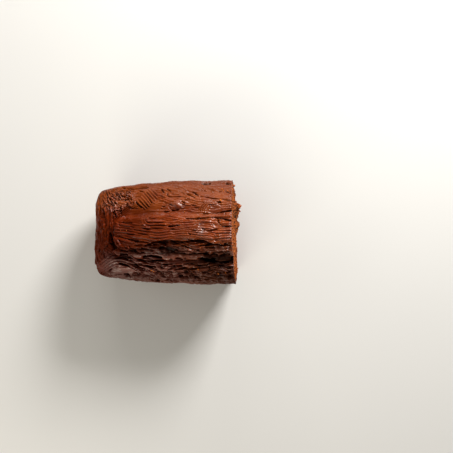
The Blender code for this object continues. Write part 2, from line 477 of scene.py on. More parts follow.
def lay_gouges(relief, table, walls, rng):
    """Presses a table's short dark gouges along the walls, between the strokes."""
    for (first, last), (low, high), count, lengths, widths, depths in table:
        for _ in range(count):
            place = outline_place(walls, rng.uniform(first, last))
            half_length, half_width = rng.uniform(*lengths), rng.uniform(*widths)
            depth, turn = rng.uniform(*depths), rng.normal(0, GOUGE_STRAY)
            start, end, column = columns_by(walls, place, half_length + 2)
            if end - start < 2:
                continue
            up = np.interp(rng.uniform(low, high), walls.level, walls.up_at[:, column])
            spread = 4 * half_width + half_length * abs(np.sin(turn))
            here, x, y = wall_patch(walls, start, end, column, place, up, spread)
            along, across = rotated(x, y, turn)
            across = across + 0.6 * noise(np.stack([along, y], axis=-1), (5.0, 20.0), int(place * 7))
            ends = np.clip(1 - (along / half_length) ** 2, 0, 1)
            dent = np.exp(-((across / (half_width * (0.4 + 0.6 * ends))) ** 2))
            lip = np.exp(-(((across + 1.9 * half_width) / (1.2 * half_width)) ** 2))
            relief[here] += depth * ends * (0.35 * lip - dent)


# Gouges along the walls: first and last place round the loaf and first and last level, as above, how
# many, half length, half width and depth in millimetres.
GOUGES = (
    ((0.0, 1.1), (0.5, 7.2), 290, (3.5, 12.0), (0.4, 0.85), (1.6, 3.8)),
    ((1.1, 2.0), (0.5, 7.2), 260, (1.5, 7.0), (0.40, 0.75), (1.0, 2.6)),
    ((2.0, 3.0), (0.5, 6.6), 110, (2.0, 9.0), (0.4, 0.8), (0.7, 1.8)),
)
LOW_FAR_GOUGES = (((1.8, 3.0), (0.2, 2.9), 130, (3.0, 10.0), (0.4, 0.8), (1.0, 2.6)),)
GOUGE_STRAY = 0.12  # of their direction

# Strokes over the crown: middle of their area and how far it reaches, how many, half length, half
# width (all in pixels), direction in degrees down to the right, manner.
CROWN_STROKES = (
    ((178.0, 222.0), (58.0, 22.0), 130, (6.0, 15.0), (1.6, 3.4), 1.0, CROWN),
    ((190.0, 196.0), (46.0, 9.0), 60, (6.0, 14.0), (1.4, 3.0), 8.0, SOFT),
    ((190.0, 248.0), (44.0, 6.0), 50, (5.0, 12.0), (1.2, 2.4), 2.0, BARK),
)

# Bundles of ridges: path, half width, spacing (pixels), ridge height (mm; below 0 it presses grooves),
# how much of what lies under them they cover.
BUNDLES = {
    "far scratches": (((114, 229), (121, 219), (130, 211), (140, 207)), 7.5, 1.9, 2.0, 0.9),
    "smooth of the crown": (((128, 215), (142, 212), (152, 209), (162, 208)), 6.0, 2.4, 0.3, 0.9),
    "left ridges": (
        ((114, 230.0), (130, 233.6), (142, 236.0), (152, 236.8), (172, 236.0)), 10.5, 2.6, 1.5, 0.95),
    "near left flow": (
        ((98.5, 270.3), (107.6, 264), (113.5, 260.4), (121.2, 259.9), (133, 263.5)), 6.5, 2.6, 2.0, 0.9),
    "far ridges": (((168.6, 196.0), (176.3, 197.4), (184, 199.6)), 4.4, 1.9, 0.55, 0.8),
    "far right": (((196, 196.5), (210.3, 197.6), (218.6, 198.7), (232, 201.0)), 5.5, 2.2, 0.6, 0.8),
    "ridges at the cut": (((214, 228), (224, 228), (233, 228)), 17.0, 2.33, 2.2, 0.85),
    "far ridges at the cut": (((221, 206), (227, 205.5), (233, 205.5)), 6.0, 2.2, 1.1, 0.8),
    "near ridges at the cut": (((214, 248), (224, 248), (233, 248)), 4.5, 2.1, 1.2, 0.8),
    "comb": (((143.4, 194.2), (148.0, 198.6), (152.6, 202.8)), 10.6, 2.85, -2.2, 1.0),
    "ripples": (((203.0, 211.5), (204.6, 207.6), (209.0, 203.6)), 4.6, 1.9, 1.8, 0.9),
    "middle ridges": (((171, 233.4), (184, 232.6), (200, 234.4), (215, 237.0)), 5.6, 2.3, 1.5, 0.85),
    "end streaks": (((106.5, 199), (105.4, 210), (105, 224), (105.4, 238)), 8.0, 3.1, 1.6, 0.7),
    "end band fan": (((104, 246), (110, 250), (113, 253)), 4.0, 2.0, 0.9, 0.8),
}

# Ridges that loop round the end of a line: line, ring distances from it (pixels), height.
HAIRPINS = {
    "crown hairpin": (((149.6, 219.0), (158.0, 219.1), (168.0, 219.6)), (2.4, 5.2, 8.3), 0.5),
}

# Single ridges: path, half width (pixels), height.
RIDGES = {
    "edges of the crown, the comb's first ridge and the far corner": (
        (((115.5, 205.2), (115.6, 211.4), (118, 216)), 0.75, 1.53),
        (((113.6, 236), (117, 240), (121.2, 246.2), (125.5, 250.2)), 0.8, 1.53),
        (((136.8, 201.2), (139.2, 204.2), (142, 206.6)), 0.8, 1.53),
        (((126.2, 192.2), (130.3, 195.5), (132, 198.5)), 0.8, 1.53),
    ),
    "glints of the far corner": (
        (((111.2, 191.6), (112.4, 193.6)), 0.8, 1.4),
        (((113.2, 194.2), (114.4, 196.4)), 0.7, 1.3),
        (((122, 204.6), (122.4, 207.6), (122.2, 210)), 0.7, 1.6),
        (((110.2, 201), (111, 204)), 0.7, 1.2),
    ),
    "glints of the end": (
        (((104, 204), (103.8, 209)), 0.6, 1.1),
        (((107.4, 199), (107.2, 205)), 0.6, 1.1),
        (((107.8, 214), (107.9, 219)), 0.6, 0.9),
        (((110.8, 208), (110.5, 214)), 0.6, 1.0),
        (((113.4, 207), (113, 215)), 0.6, 1.0),
        (((110.9, 222), (111, 228)), 0.6, 0.9),
        (((107.9, 232), (108.3, 234.6)), 0.9, 1.3),
    ),
    "glints by the cut": (
        (((216, 246.6), (220.4, 246.3)), 0.8, 1.8),
        (((224, 247.8), (230.4, 246.5)), 0.8, 1.8),
        (((216, 249.2), (220, 249)), 0.8, 2.6),
        (((225, 250.2), (228.4, 250)), 0.8, 2.6),
    ),
    "red bits under the crown's edge and on the flank": (
        (((146, 247.6), (151, 246.8), (157.4, 246.4)), 0.7, 1.9),
        (((151.6, 248.8), (155, 248.6), (159.4, 250.4)), 0.8, 2.3),
        (((188.6, 249.8), (192.6, 250.8), (196.4, 250.2)), 0.9, 2.2),
        (((200, 249.6), (203, 250.4), (205.6, 251.4)), 0.8, 2.0),
        (((150.8, 244.8), (152.4, 245.4)), 0.8, 1.8),
    ),
    "red bits by the cut": (
        (((231, 258.2), (234.4, 258)), 0.8, 2.4),
        (((231.6, 261.4), (234.6, 261)), 0.8, 2.4),
        (((228.6, 265.6), (234.8, 264.8)), 0.9, 2.4),
        (((229, 269), (234.6, 268.6)), 1.1, 2.4),
    ),
    "red bits on the near side": (
        (((222.6, 273.2), (226.8, 273.6)), 0.9, 2.0),
        (((216, 273.6), (220.4, 273.8)), 0.8, 1.8),
    ),
    "ridges of the far side": (
        (((128.4, 200.7), (129.1, 205.2), (131, 206.6)), 0.9, 1.36),
        (((198.3, 186), (202.7, 188.8), (204.9, 191)), 0.7, 0.77),
    ),
    "long ridges of the near side": (
        (((153, 271.5), (160, 275.6), (174.7, 277.1), (195.5, 277.7)), 1.0, 1.53),
        (((150, 265.6), (162, 265), (178.5, 265.2), (197.7, 265.2)), 0.9, 1.19),
    ),
    "ridges of the flank": (
        (((177, 246), (187, 243.6), (196, 243)), 0.9, 1.36),
        (((198, 244.4), (207, 244.6)), 0.8, 0.8),
    ),
    "long ridge of the far side": (
        (((180.7, 192.2), (191.7, 195.5), (195, 197.2)), 0.7, 0.59),
    ),
}

# Grooves: path, half width (pixels), depth.
GROOVES = {
    "notch": (
        (((111.5, 236), (112.6, 243), (114.6, 249), (118, 253.4), (127, 254)), 1.6, 2.8),
        (((127.5, 253.2), (133, 252.3), (137.5, 253.6), (141, 255.9)), 1.1, 2.6),
        (((139, 255.4), (147, 256.2), (153, 255.5), (160, 256.8), (166, 257.2)), 1.2, 2.8),
        (((172, 253.8), (180, 255), (187, 256), (196, 256.6), (203, 256.8)), 1.2, 3.8),
        (((198, 256.8), (206, 257.6), (212, 258.8), (220, 259.4),
          (227, 258.8), (233, 257.2)), 2.6, 5.5),
        (((207, 259.6), (214, 260.8), (222, 261.6), (228, 261.2), (233, 259.8)), 1.6, 3.4),
    ),
    "black places by the crown": (
        (((110.4, 233.5), (112, 239), (113.4, 245), (115.2, 250.6)), 1.7, 2.2),
        (((157.6, 242.4), (162.6, 243.4), (168, 243.8)), 1.6, 2.2),
        (((160.4, 249.4), (166, 249.8), (173, 251.6)), 1.6, 3.6),
        (((167, 250.8), (170.4, 252), (176.6, 251)), 2.1, 4.4),
        (((157, 242.6), (162, 243.6), (166, 246)), 1.5, 2.2),
    ),
    "dark edge of the crown": (
        (((158, 241), (166, 241.8), (177.5, 241.4)), 1.0, 1.2),
        (((194, 241.2), (200, 239.8), (208, 242.4), (215, 244.4), (222, 246.4)), 1.0, 1.1),
        (((187.5, 239.8), (192.5, 241.2)), 1.3, 2.6),
        (((225, 244.3), (233, 243.6)), 1.3, 3.2),
    ),
    "hollow over the notch": (
        (((205, 252.4), (213, 253.2), (221, 254), (231, 253.4)), 1.3, 1.6),
    ),
    "long cracks of the crown": (
        (((186, 218.6), (197, 218.9), (205, 217.7), (213, 217.2),
          (221, 218.3), (227, 219.6), (233, 221.1)), 0.55, 1.8),
        (((223, 218.9), (228, 219.9), (233, 221.1)), 0.7, 2.2),
        (((203, 213.8), (212, 213), (217, 213), (222, 211.8), (228, 210.8), (233, 210.2)), 0.5, 1.6),
        (((225, 211.2), (233, 210.2)), 0.7, 1.8),
    ),
    "short cracks of the crown": (
        (((217.6, 218.8), (218.4, 222), (220.4, 225.2)), 0.65, 2.0),
        (((223, 226.9), (227, 226.6), (233, 226.1)), 0.6, 2.0),
        (((201.6, 228.2), (204, 229.5), (205.8, 231), (209, 230.8),
          (213, 230.1), (217.6, 229.3)), 0.5, 1.8),
        (((168.6, 226.4), (173.5, 226.3), (176, 225.6), (180.4, 225)), 0.55, 1.8),
        (((169.6, 229.2), (175, 229.3)), 0.45, 1.4),
        (((191.8, 230.4), (196, 230.4)), 0.55, 1.4),
        (((187.8, 232.6), (190.4, 234.6)), 0.5, 1.8),
    ),
    "dark dashes of the far edge": (
        (((127.4, 188.3), (132, 188.6), (136, 188.4), (140, 187.5), (148, 187.6)), 0.8, 5.5),
        (((122.4, 187.2), (125.2, 188.2)), 1.1, 5.5),
        (((139.8, 191.2), (142.6, 191.3)), 0.7, 2.8),
        (((200.8, 182.9), (205, 183.4), (209.6, 183.3)), 1.1, 7.0),
        (((226.5, 183.2), (231, 184.4)), 0.9, 4.4),
    ),
    "nicks and bracket of the far side": (
        (((166.8, 188.6), (169, 190.2), (171.2, 191.8)), 0.55, 2.0),
        (((161.4, 189.2), (163, 191.2), (164.4, 193)), 0.55, 1.9),
        (((167.7, 192.6), (167.2, 196.4), (172, 196.7), (180, 196.4), (186, 197.2)), 0.45, 1.5),
        (((171, 194.3), (179.6, 194.2)), 0.4, 1.0),
    ),
    "long arcs of the far side": (
        (((180.6, 191.8), (186, 193.6), (190, 195), (194.6, 197.6)), 0.5, 1.8),
        (((192.6, 191.9), (195.6, 193.8), (198.4, 195.4)), 0.45, 1.6),
        (((200, 196.2), (207, 197), (212, 198.3), (222, 199), (232, 200.7)), 0.45, 1.4),
        (((199.6, 186.8), (202.8, 188.8), (204.6, 191.2)), 0.45, 1.4),
    ),
    "nicks and pits round the lump": (
        (((181.2, 200.8), (183.2, 202), (185, 203.4)), 0.55, 1.8),
        (((179.5, 201.8), (180.5, 203.6)), 0.5, 1.3),
        (((171.8, 210.2), (174, 211), (176.6, 210.6), (178.6, 210)), 0.6, 1.7),
        (((168.8, 206.2), (170, 208.2)), 1.3, 0.9),
        (((164.4, 211.6), (168, 211.6)), 0.8, 0.8),
    ),
    "spot by the cut": (
        (((224.6, 212.8), (225.6, 214.2)), 0.8, 1.8),
    ),
    "grooves of the hairpin": (
        (((144.8, 217.6), (145, 221), (147.6, 222.8), (158, 222.8),
          (166, 222.6), (172, 223.8)), 0.5, 0.7),
        (((142.6, 223.2), (146.6, 225.2), (152, 225.7), (160, 225.4), (167, 226.2)), 0.5, 0.75),
        (((144, 228.2), (148, 229), (156, 228.8), (164, 228.7)), 0.5, 0.8),
        (((148.8, 218.4), (156, 219), (163, 219)), 1.0, 0.7),
    ),
    "lines of the crown's left": (
        (((122.4, 222.2), (127, 223.4), (132, 223.2)), 0.5, 1.0),
        (((129.6, 226.2), (134, 226.9), (139, 227), (144, 228.2), (149, 229.8)), 0.55, 1.3),
        (((134, 229.6), (140, 230.5), (146, 232.4), (149.6, 232.2)), 0.5, 0.9),
        (((127, 234.3), (132, 234.7), (138, 233.7), (144, 234.6), (149, 236)), 0.5, 1.1),
        (((117.4, 236), (122, 237.5), (127, 238.9), (132, 240.1), (139, 240.8)), 0.55, 1.5),
        (((135, 242), (142, 241.8), (149.4, 243.2)), 0.55, 1.5),
        (((134, 245.6), (140, 245.2), (147, 245.6)), 0.55, 1.3),
    ),
    "edges, line and spots by the far corner": (
        (((136.4, 202.6), (138.6, 205.2), (141.4, 207.4)), 0.55, 1.8),
        (((130.2, 208.3), (133.6, 208.9), (137.2, 208.6)), 0.7, 1.4),
        (((120.6, 205.8), (120.9, 210), (120.8, 214.2)), 0.7, 1.4),
        (((126.8, 203.6), (126.4, 207)), 0.8, 1.6),
        (((133.2, 202.2), (133.2, 204)), 0.6, 1.2),
        (((136.2, 200.8), (136.6, 203)), 0.6, 1.2),
    ),
    "shade under the stuck crumbs": (
        (((218.6, 191.5), (221.4, 191.6)), 0.5, 1.2),
        (((224.8, 191.6), (228.6, 192.3)), 0.5, 1.4),
        (((217.2, 202), (221, 202.4)), 0.6, 1.5),
    ),
    "lines of the near left flow": (
        (((116.6, 258.8), (122, 257.6), (125, 258.6), (128, 259.8)), 0.8, 2.2),
        (((129, 259.6), (133, 260.8)), 0.7, 1.8),
        (((137.4, 260.2), (142, 260)), 0.8, 2.2),
        (((119.6, 263.2), (124.6, 264.6), (128.6, 266)), 0.9, 2.2),
        (((109.6, 270.6), (112.6, 268.6)), 0.8, 1.8),
    ),
    "lines of the near side": (
        (((137, 265.8), (140, 267.2), (141, 270.4)), 0.7, 2.0),
        (((142, 269.6), (146, 271), (150, 270.8)), 0.7, 1.8),
        (((142, 272.4), (148, 271.6)), 0.6, 1.4),
        (((164, 264.4), (170, 264.8), (175, 265.2)), 0.8, 2.2),
        (((182, 266.8), (186, 268), (191, 268.4), (199.6, 268.3)), 0.6, 1.8),
        (((218.4, 265.9), (224.4, 265.4)), 0.8, 2.2),
        (((209.5, 268), (216, 267.4)), 1.0, 1.8),
        (((190.4, 273), (193.4, 275.4), (198, 277.2)), 0.8, 1.8),
        (((202.6, 271.8), (206.6, 273.6)), 0.9, 1.8),
    ),
    "gouges of the near side": (
        (((149.8, 266.9), (152.6, 266.6), (155.6, 267.2)), 1.1, 2.6),
        (((155.6, 268.6), (158.2, 271.4), (161.2, 273.6), (168, 274.2)), 0.8, 2.2),
        (((161.4, 267.6), (164.6, 268)), 0.9, 2.2),
        (((184.2, 272.8), (189.4, 273)), 1.2, 3.4),
        (((178, 274), (182.4, 274.8)), 1.0, 3.2),
        (((195.6, 277), (199.4, 277.2)), 0.9, 2.0),
        (((213.4, 275.2), (219, 277), (224.8, 278.2)), 1.5, 5.0),
        (((216.8, 272.3), (220.4, 272.3)), 0.9, 2.8),
        (((124.6, 274.2), (128, 275.6), (131, 278)), 1.0, 3.8),
        (((137.6, 274.2), (143, 275.8), (148, 276.6), (153.5, 277.4)), 0.9, 3.8),
        (((155.8, 280), (160, 280.8)), 1.2, 4.2),
        (((224.6, 276.6), (233.6, 276.4)), 1.0, 3.6),
        (((143, 278.4), (149, 278.6), (154, 279.6)), 0.7, 2.8),
        (((177, 280.6), (186, 281)), 0.9, 3.4),
        (((167.4, 278.8), (172.4, 280.6)), 1.0, 3.2),
    ),
    "gouges of the far corner": (
        (((126, 192.6), (128.2, 194.4), (130.2, 195.9)), 0.8, 1.56),
        (((108.2, 192.6), (109.6, 194)), 1.0, 1.69),
        (((110.9, 189.8), (112.8, 191.2)), 0.9, 1.56),
        (((115.8, 192.8), (118.2, 195)), 0.9, 1.69),
        (((113.6, 199.8), (115.4, 202.2)), 0.9, 1.43),
        (((116.8, 203.4), (119, 205.4)), 0.9, 1.43),
        (((123.4, 195), (125.2, 197.4)), 0.8, 1.43),
        (((99, 197.2), (99.4, 201.8)), 0.9, 1.8),
        (((102, 192), (104.2, 191.8)), 0.8, 1.4),
        (((111.6, 204.2), (112.4, 205.8)), 0.8, 1.4),
    ),
    "nicks of the end": (
        (((108.2, 206), (108.8, 207.6)), 0.9, 1.17),
        (((99.4, 217.6), (100, 219.2)), 1.0, 1.17),
        (((103, 233), (103.4, 234.8)), 0.9, 1.17),
    ),
}

# Drops in height to the right of a path (down the picture): path, drop, pixels it fades over.
LEDGES = {
    "edge of the crown's light": (
        ((112, 243), (120, 246.5), (131, 249.5), (143, 247.5), (151, 242.5), (160, 240.6), (170, 240.2),
         (188.4, 241.4), (199.4, 239.8), (209.2, 242.6), (217.5, 244.6), (233, 245.8)), 3.2, 12.0),
    "end of the crown": (((118.0, 228), (115.4, 232), (114.8, 238), (116.5, 243)), -0.9, 4.0),
}

# Lumps: place, radius (pixels), height.
LUMPS = {
    "lump of the crown": ((177.4, 205.4), (3.2, 3.6), 2.3),
    "flank sheen a": ((172.5, 245.2), (6.5, 1.6), 0.9),
    "flank sheen b": ((157.5, 253.2), (7.0, 1.4), 0.8),
    "flank sheen c": ((130.5, 247.8), (4.5, 1.3), 0.7),
    "flank sheen d": ((141.5, 252.6), (2.6, 1.6), 0.8),
    "white patch": ((200.0, 230.2), (2.8, 1.7), 1.1),
    "second white patch": ((213.6, 227.0), (2.2, 1.4), 0.9),
    "patch at the cut": ((229.6, 228.4), (3.4, 1.2), 1.0),
    "patch between the cracks": ((226.6, 223.6), (4.4, 1.9), 1.3),
    "near sheen": ((126.0, 270.6), (9.0, 3.6), 0.5),
    "red patch": ((196.5, 247.4), (9.0, 2.4), 0.6),
}

# Places where the coat is smooth: middle, radius (pixels).
SMOOTH_PLACES = {
    "smooth of the crown": ((150.0, 211.6), (13.0, 4.2)),
    "smooth left": ((122.4, 231.0), (4.6, 2.8)),
    "near left patch": ((126.0, 270.8), (9.0, 3.4)),
    "far right": ((222.0, 194.6), (8.0, 3.0)),
    "lump": ((177.2, 204.4), (4.2, 4.2)),
}

# Short stabs: middle and reach of their area (pixels), how many, and their slant in degrees down to
# the right, at the left and at the right of the far corner. The slants stray by some degrees.
STABS = (
    ((116.0, 196.5), (13.5, 9.0), 48, (76.0, 46.0)),
    ((105.5, 221.0), (8.0, 22.0), 60, (90.0, 84.0)),
    ((101.0, 212.0), (4.0, 26.0), 55, (88.0, 88.0)),
    ((112.0, 193.5), (9.0, 5.0), 26, (70.0, 50.0)),
)
STABS_LEFT, STABS_RIGHT = 104.0, 113.0  # pixels across, where the slants hold
STAB_STRAY, STAB_LENGTHS, STAB_DEPTHS = 8, (1.4, 4.0), (0.4, 1.25)
# Pixels across a stab: its half width, how far beside it the lip is raised, the lip's half width.
STAB_WIDTH, LIP_BESIDE, LIP_WIDTH = 0.45, 1.1, 0.55
RING_WIDTH = 0.62  # half width of a hairpin's ridges, in pixels

# A swelling of the end's near corner, which is squarer than the loaf's form: place, reach, height.
CORNER_SWELL = ((-76.0, -42.0, 40.0), (11.0, 12.0, 26.0), 3.4)

LOW_WAVE_HEIGHT, LOW_WAVE_SIZE = 0.35, 11.0  # of the slow unevenness under all strokes
# Unevenness, as height, size and seed: flakes of the near side, grain, the rim and the cut's edge.
FLAKES = ((0.6, (19.0, 3.3, 3.3), 8), (0.3, (11.0, 1.9, 1.9), 9))
GRAIN = ((0.14, 2.6, 5), (0.05, 1.3, 6))
RIM_UP, RIM_WAVES = 0.45, ((0.4, 5.0, 3),)
CUT_EDGE_WAVES = ((0.22, 2.0, 4),)

# How the relief is held back: above this height it is pressed together, into this much more.
PRESSED_ABOVE, PRESSED_INTO = 1.0, 1.5
# The deepest groove by the rim and the cut, and how much deeper it may be elsewhere.
DEEPEST_AT_EDGE, DEEPEST_MORE = 0.9, 3.5
LINING_MORE = 3.6  # how much deeper the coat's inner side is elsewhere, so that no groove reaches it
RISE_FROM_RIM = 8.0  # up the wall from the rim, over which both get deeper


def lay_bundle(relief, across, down, bundle, seed):
    """Lays a bundle of ridges along its path."""
    path, half_width, spacing, height, cover = bundle
    along, right, _, length = beside_path(across, down, rounded(path))
    place = np.stack([along, right], axis=-1)
    border = (np.abs(right) / half_width) ** 4 + (np.abs(2 * along / length - 1) * 0.96) ** 6
    mask = smoothstep((1.15 - border + 0.5 * noise(place, (4.0, 2.0), seed)) * 1.8)
    ridges = height * (ridged(along, right, spacing, seed) - SUNK)
    return relief + mask * cover * (ridges - relief)


def lay_hairpin(relief, across, down, hairpin, seed):
    """Raises ridges that run round the end of a line."""
    line, rings, height = hairpin
    along, _, nearest, length = beside_path(across, down, np.asarray(line, float))
    open_end = smoothstep((length - along) / 3.0)
    wave = 0.25 * noise(np.stack([along, nearest], axis=-1), (6.0, 40.0), seed)
    for ring in rings:
        relief = relief + open_end * height * np.exp(-(((nearest + wave - ring) / RING_WIDTH) ** 2))
    return relief


def lay_line(relief, across, down, line, sign, seed):
    """Raises one ridge, or presses one groove, along its path."""
    path, half_width, height = line
    along, right, nearest, length = beside_path(across, down, rounded(path))
    place = np.stack([along, right], axis=-1)
    ends = np.clip(np.minimum(along, length - along) / (2.5 * half_width), 0, 1)
    width = half_width * (0.55 + 0.45 * ends) * (1 + 0.35 * noise(place, (4.0, 30.0), seed))
    away = nearest + 0.35 * half_width * noise(place, (3.0, 9.0), seed + 3)
    strength = 1 + 0.3 * noise(place, (5.0, 30.0), seed + 7)
    return relief + sign * height * strength * np.exp(-((away / width) ** 2))


def lay_ledge(relief, across, down, ledge, seed):
    """Lowers the surface to the right of a path, fading away from it."""
    path, drop, fade = ledge
    along, right, nearest, _ = beside_path(across, down, rounded(path))
    right = right + 0.5 * noise(np.stack([along, right], axis=-1), (5.0, 20.0), seed)
    ends = nearest - np.abs(right) < 2.0
    return relief - drop * ends * smoothstep(right / 1.1 + 0.5) * np.exp(-np.maximum(right, 0) / fade)


def lay_stab(relief, across, down, place, length, slant, depth):
    """Presses a short dent into the coat, with a raised lip on its far side."""
    along, right = rotated(across - place[0], down - place[1], slant)
    dent = np.exp(-((right / STAB_WIDTH) ** 2))
    lip = np.exp(-(((right + LIP_BESIDE) / LIP_WIDTH) ** 2))
    return relief + depth * np.exp(-((along / length) ** 4)) * (1.3 * lip - dent)


def lay_dab(relief, across, down, place, slant, *details):
    """Lays one stroke round a place."""
    return dab(relief, *rotated(across - place[0], down - place[1], slant), *details)


def oval(across, down, middle, reach):
    """Distance from the middle of an oval place, 1 at its edge."""
    return np.hypot((across - middle[0]) / reach[0], (down - middle[1]) / reach[1])


def lay_smooth(relief, across, down, middle, reach):
    """Takes most of the relief from an oval place."""
    return relief * (1 - 0.9 * smoothstep((1.25 - oval(across, down, middle, reach)) * 3))


def lay_lump(relief, across, down, middle, reach, height):
    """Raises an oval lump."""
    return relief + height * np.exp(-oval(across, down, middle, reach) ** 2)


def lay_seen_strokes(relief, across, down, seen, rng):
    """Lays what the photograph shows of the strokes, at its places, as far as each point is seen."""

    def near(path, margin):
        path = np.atleast_2d(np.asarray(path, float))
        low, high = path.min(axis=0) - margin, path.max(axis=0) + margin
        inside = (across > low[0]) & (across < high[0]) & (down > low[1]) & (down < high[1])
        return np.nonzero(inside & (seen > 0))

    def lay(how, path, margin, *details):
        here = near(path, margin)
        changed = how(relief[here], across[here], down[here], *details)
        relief[here] += seen[here] * (changed - relief[here])

    def lay_all(what, how, table, margin, *details):
        for number, entry in enumerate(table):
            lay(how, entry[0], margin(entry), entry, *details, FIRST_SEEDS[what] + SEED_STEP * number)

    for middle, reach, count, lengths, widths, slant, manner in CROWN_STROKES:
        for number in range(count):
            place = np.add(middle, rng.uniform(-1, 1, 2) * reach)
            turn = np.radians(slant) + rng.normal(0, manner.stray)
            half_length, half_width = rng.uniform(*lengths), rng.uniform(*widths)
            lay(lay_dab, place, half_length + 2, place, turn, half_length, half_width, manner, number)
    for middle, reach in SMOOTH_PLACES.values():
        lay(lay_smooth, middle, 1.4 * max(reach), middle, reach)
    lay_all("bundle", lay_bundle, BUNDLES.values(), lambda bundle: bundle[1] + 2)
    lay_all("hairpin", lay_hairpin, HAIRPINS.values(), lambda hairpin: max(hairpin[1]) + 3)
    for middle, reach, count, slants in STABS:
        for _ in range(count):
            place = np.add(middle, rng.uniform(-1, 1, 2) * reach)
            slant = rng.normal(np.interp(place[0], (STABS_LEFT, STABS_RIGHT), slants), STAB_STRAY)
            length, depth = rng.uniform(*STAB_LENGTHS), rng.uniform(*STAB_DEPTHS)
            lay(lay_stab, place, 5.0, place, length, np.radians(slant), depth)
    lay_all("ledge", lay_ledge, LEDGES.values(), lambda ledge: 9.0)
    lay_all("ridge", lay_line, chain(*RIDGES.values()), lambda ridge: 4.0, 1)
    for middle, reach, height in LUMPS.values():
        lay(lay_lump, middle, 2.5 * max(reach), middle, reach, height)
    lay_all("groove", lay_line, chain(*GROOVES.values()), lambda groove: 5.0, -1)


def make_relief(grid, walls):
    """How far the frosting stands out of the loaf's smooth form at each point of the grid."""
    rng = np.random.default_rng(STROKES_SEED)
    level = walls.level[:, None]
    relief = LOW_WAVE_HEIGHT * rough(grid, LOW_WAVE_SIZE, 1, octaves=2)
    place, reach, far = CORNER_SWELL
    relief += far * np.exp(-((((grid - place) / reach) ** 2).sum(axis=-1)))
    lay_wall_strokes(relief, WALL_STROKES, walls, rng)
    lay_gouges(relief, GOUGES, walls, rng)
    low_rng = np.random.default_rng(LOW_STROKES_SEED)
    lay_wall_strokes(relief, LOW_FAR_STROKES, walls, low_rng)
    lay_gouges(relief, LOW_FAR_GOUGES, walls, low_rng)

    # What the photograph shows is laid where a point faces up, above the widest level.
    seen = smoothstep((level - WIDEST - 0.1) / 0.4) * smoothstep(normals(grid)[..., 2] / 0.2)
    lay_seen_strokes(relief, *photo_place(grid), seen, rng)

    # Finer unevenness: long flakes on the near side, and a grain everywhere.
    near = smoothstep((-grid[..., 1] - 14.0) / 10.0) * smoothstep((level - WIDEST) / 0.8)
    relief += near * layers(grid, FLAKES)
    relief += layers(grid, GRAIN)

    # The relief is fainter along the far edge, low on the near side, by the rim and at the widest.
    far_edge = smoothstep(grid[..., 1] / 20.0) * smoothstep((TOP_OF_SIDE + 0.4 - level) / 1.4)
    relief *= 1 - 0.55 * far_edge * smoothstep((level - 2.0) / 1.0)
    relief *= 1 - 0.35 * smoothstep((WIDEST - level) / 1.2) * smoothstep((12.0 - grid[..., 1]) / 20.0)
    pressed = PRESSED_ABOVE + PRESSED_INTO * np.tanh((relief - PRESSED_ABOVE) / PRESSED_INTO)
    relief = np.where(relief > PRESSED_ABOVE, pressed, relief)
    relief *= 0.2 + 0.8 * smoothstep(walls.up_at / 4.0)
    relief *= 1 - 0.45 * np.exp(-(((level - WIDEST) / 0.7) ** 2))
    deepest = smoothstep(walls.up_at / RISE_FROM_RIM) * (0.35 + 0.65 * inland(walls))
    return np.maximum(relief, -DEEPEST_AT_EDGE - DEEPEST_MORE * deepest)


def inland(walls):
    """From 0 at the cut to 1 where its edge band ends, for each column."""
    from_cut = np.minimum(walls.round_at, walls.round_at[-1] - walls.round_at)[None, :]
    return smoothstep(from_cut / EDGE_BAND)


def blurred(values, reach):
    """Values averaged twice with their neighbours, up to reach = (rows, columns) away."""
    for axis, count in 2 * tuple(enumerate(reach)):
        spread = [(0, 0), (0, 0)]
        spread[axis] = (count, count)
        padded = np.pad(values, spread, mode="edge")
        places = np.arange(values.shape[axis])
        values = sum(padded.take(places + k, axis) for k in range(2 * count + 1)) / (2 * count + 1)
    return values


def hollowness(relief):
    """How far each point lies below the coat around it, which the coat's material paints as shade."""
    found = [weight * (blurred(relief, reach) - relief) for reach, weight in HOLLOW_REACHES]
    return np.max([np.zeros_like(relief), *found], axis=0)


# ---------------------------------------------------------------- meshes
def mesh_object(name, points, faces):
    """A smooth object from points in millimetres and arrays of faces."""
    data = bpy.data.meshes.new(name)
    corners = np.concatenate([np.ravel(part) for part in faces]).astype(np.int32)
    sizes = np.concatenate([np.full(len(part), part.shape[1]) for part in faces])
    starts = np.concatenate([[0], np.cumsum(sizes)[:-1]]).astype(np.int32)
    data.vertices.add(len(points))
    data.vertices.foreach_set("co", (points * MM).astype(np.float32).ravel())
    data.loops.add(len(corners))
    data.loops.foreach_set("vertex_index", corners)
    data.polygons.add(len(sizes))
    data.polygons.foreach_set("loop_start", starts)
    data.update(calc_edges=True)
    data.validate()
    data.shade_smooth()
    made = bpy.data.objects.new(name, data)
    bpy.context.scene.collection.objects.link(made)
    return made


def set_values(made, name, values):
    """Gives each point of an object's mesh a value, for its material."""
    made.data.attributes.new(name, "FLOAT", "POINT").data.foreach_set("value", values.astype(np.float32))


def weld(made, distance):
    """Joins an object's points that lie within a distance in metres, once modifiers are applied."""
    made.modifiers.new("weld", "WELD").merge_threshold = distance


def apply_modifiers(made):
    """Replaces an object's mesh by what its modifiers make of it."""
    data = bpy.data.meshes.new_from_object(made.evaluated_get(bpy.context.evaluated_depsgraph_get()))
    made.modifiers.clear()
    made.data = data


def grid_faces(index, outwards):
    """Four-cornered faces between the rows and columns of a grid of point numbers."""
    ring = [index[:-1, :-1], index[:-1, 1:], index[1:, 1:], index[1:, :-1]]
    return np.stack(ring[::-1] if outwards else ring, axis=-1).reshape(-1, 4)


def strip_faces(outer, inner):
    """Faces between two rows of as many points."""
    return np.stack([outer[:-1], outer[1:], inner[1:], inner[:-1]], axis=-1)


def cut_edge(index):
    """The points along the cut, from the near foot over the ridge to the far foot."""
    return np.concatenate([index[:, 0], index[::-1, -1]])


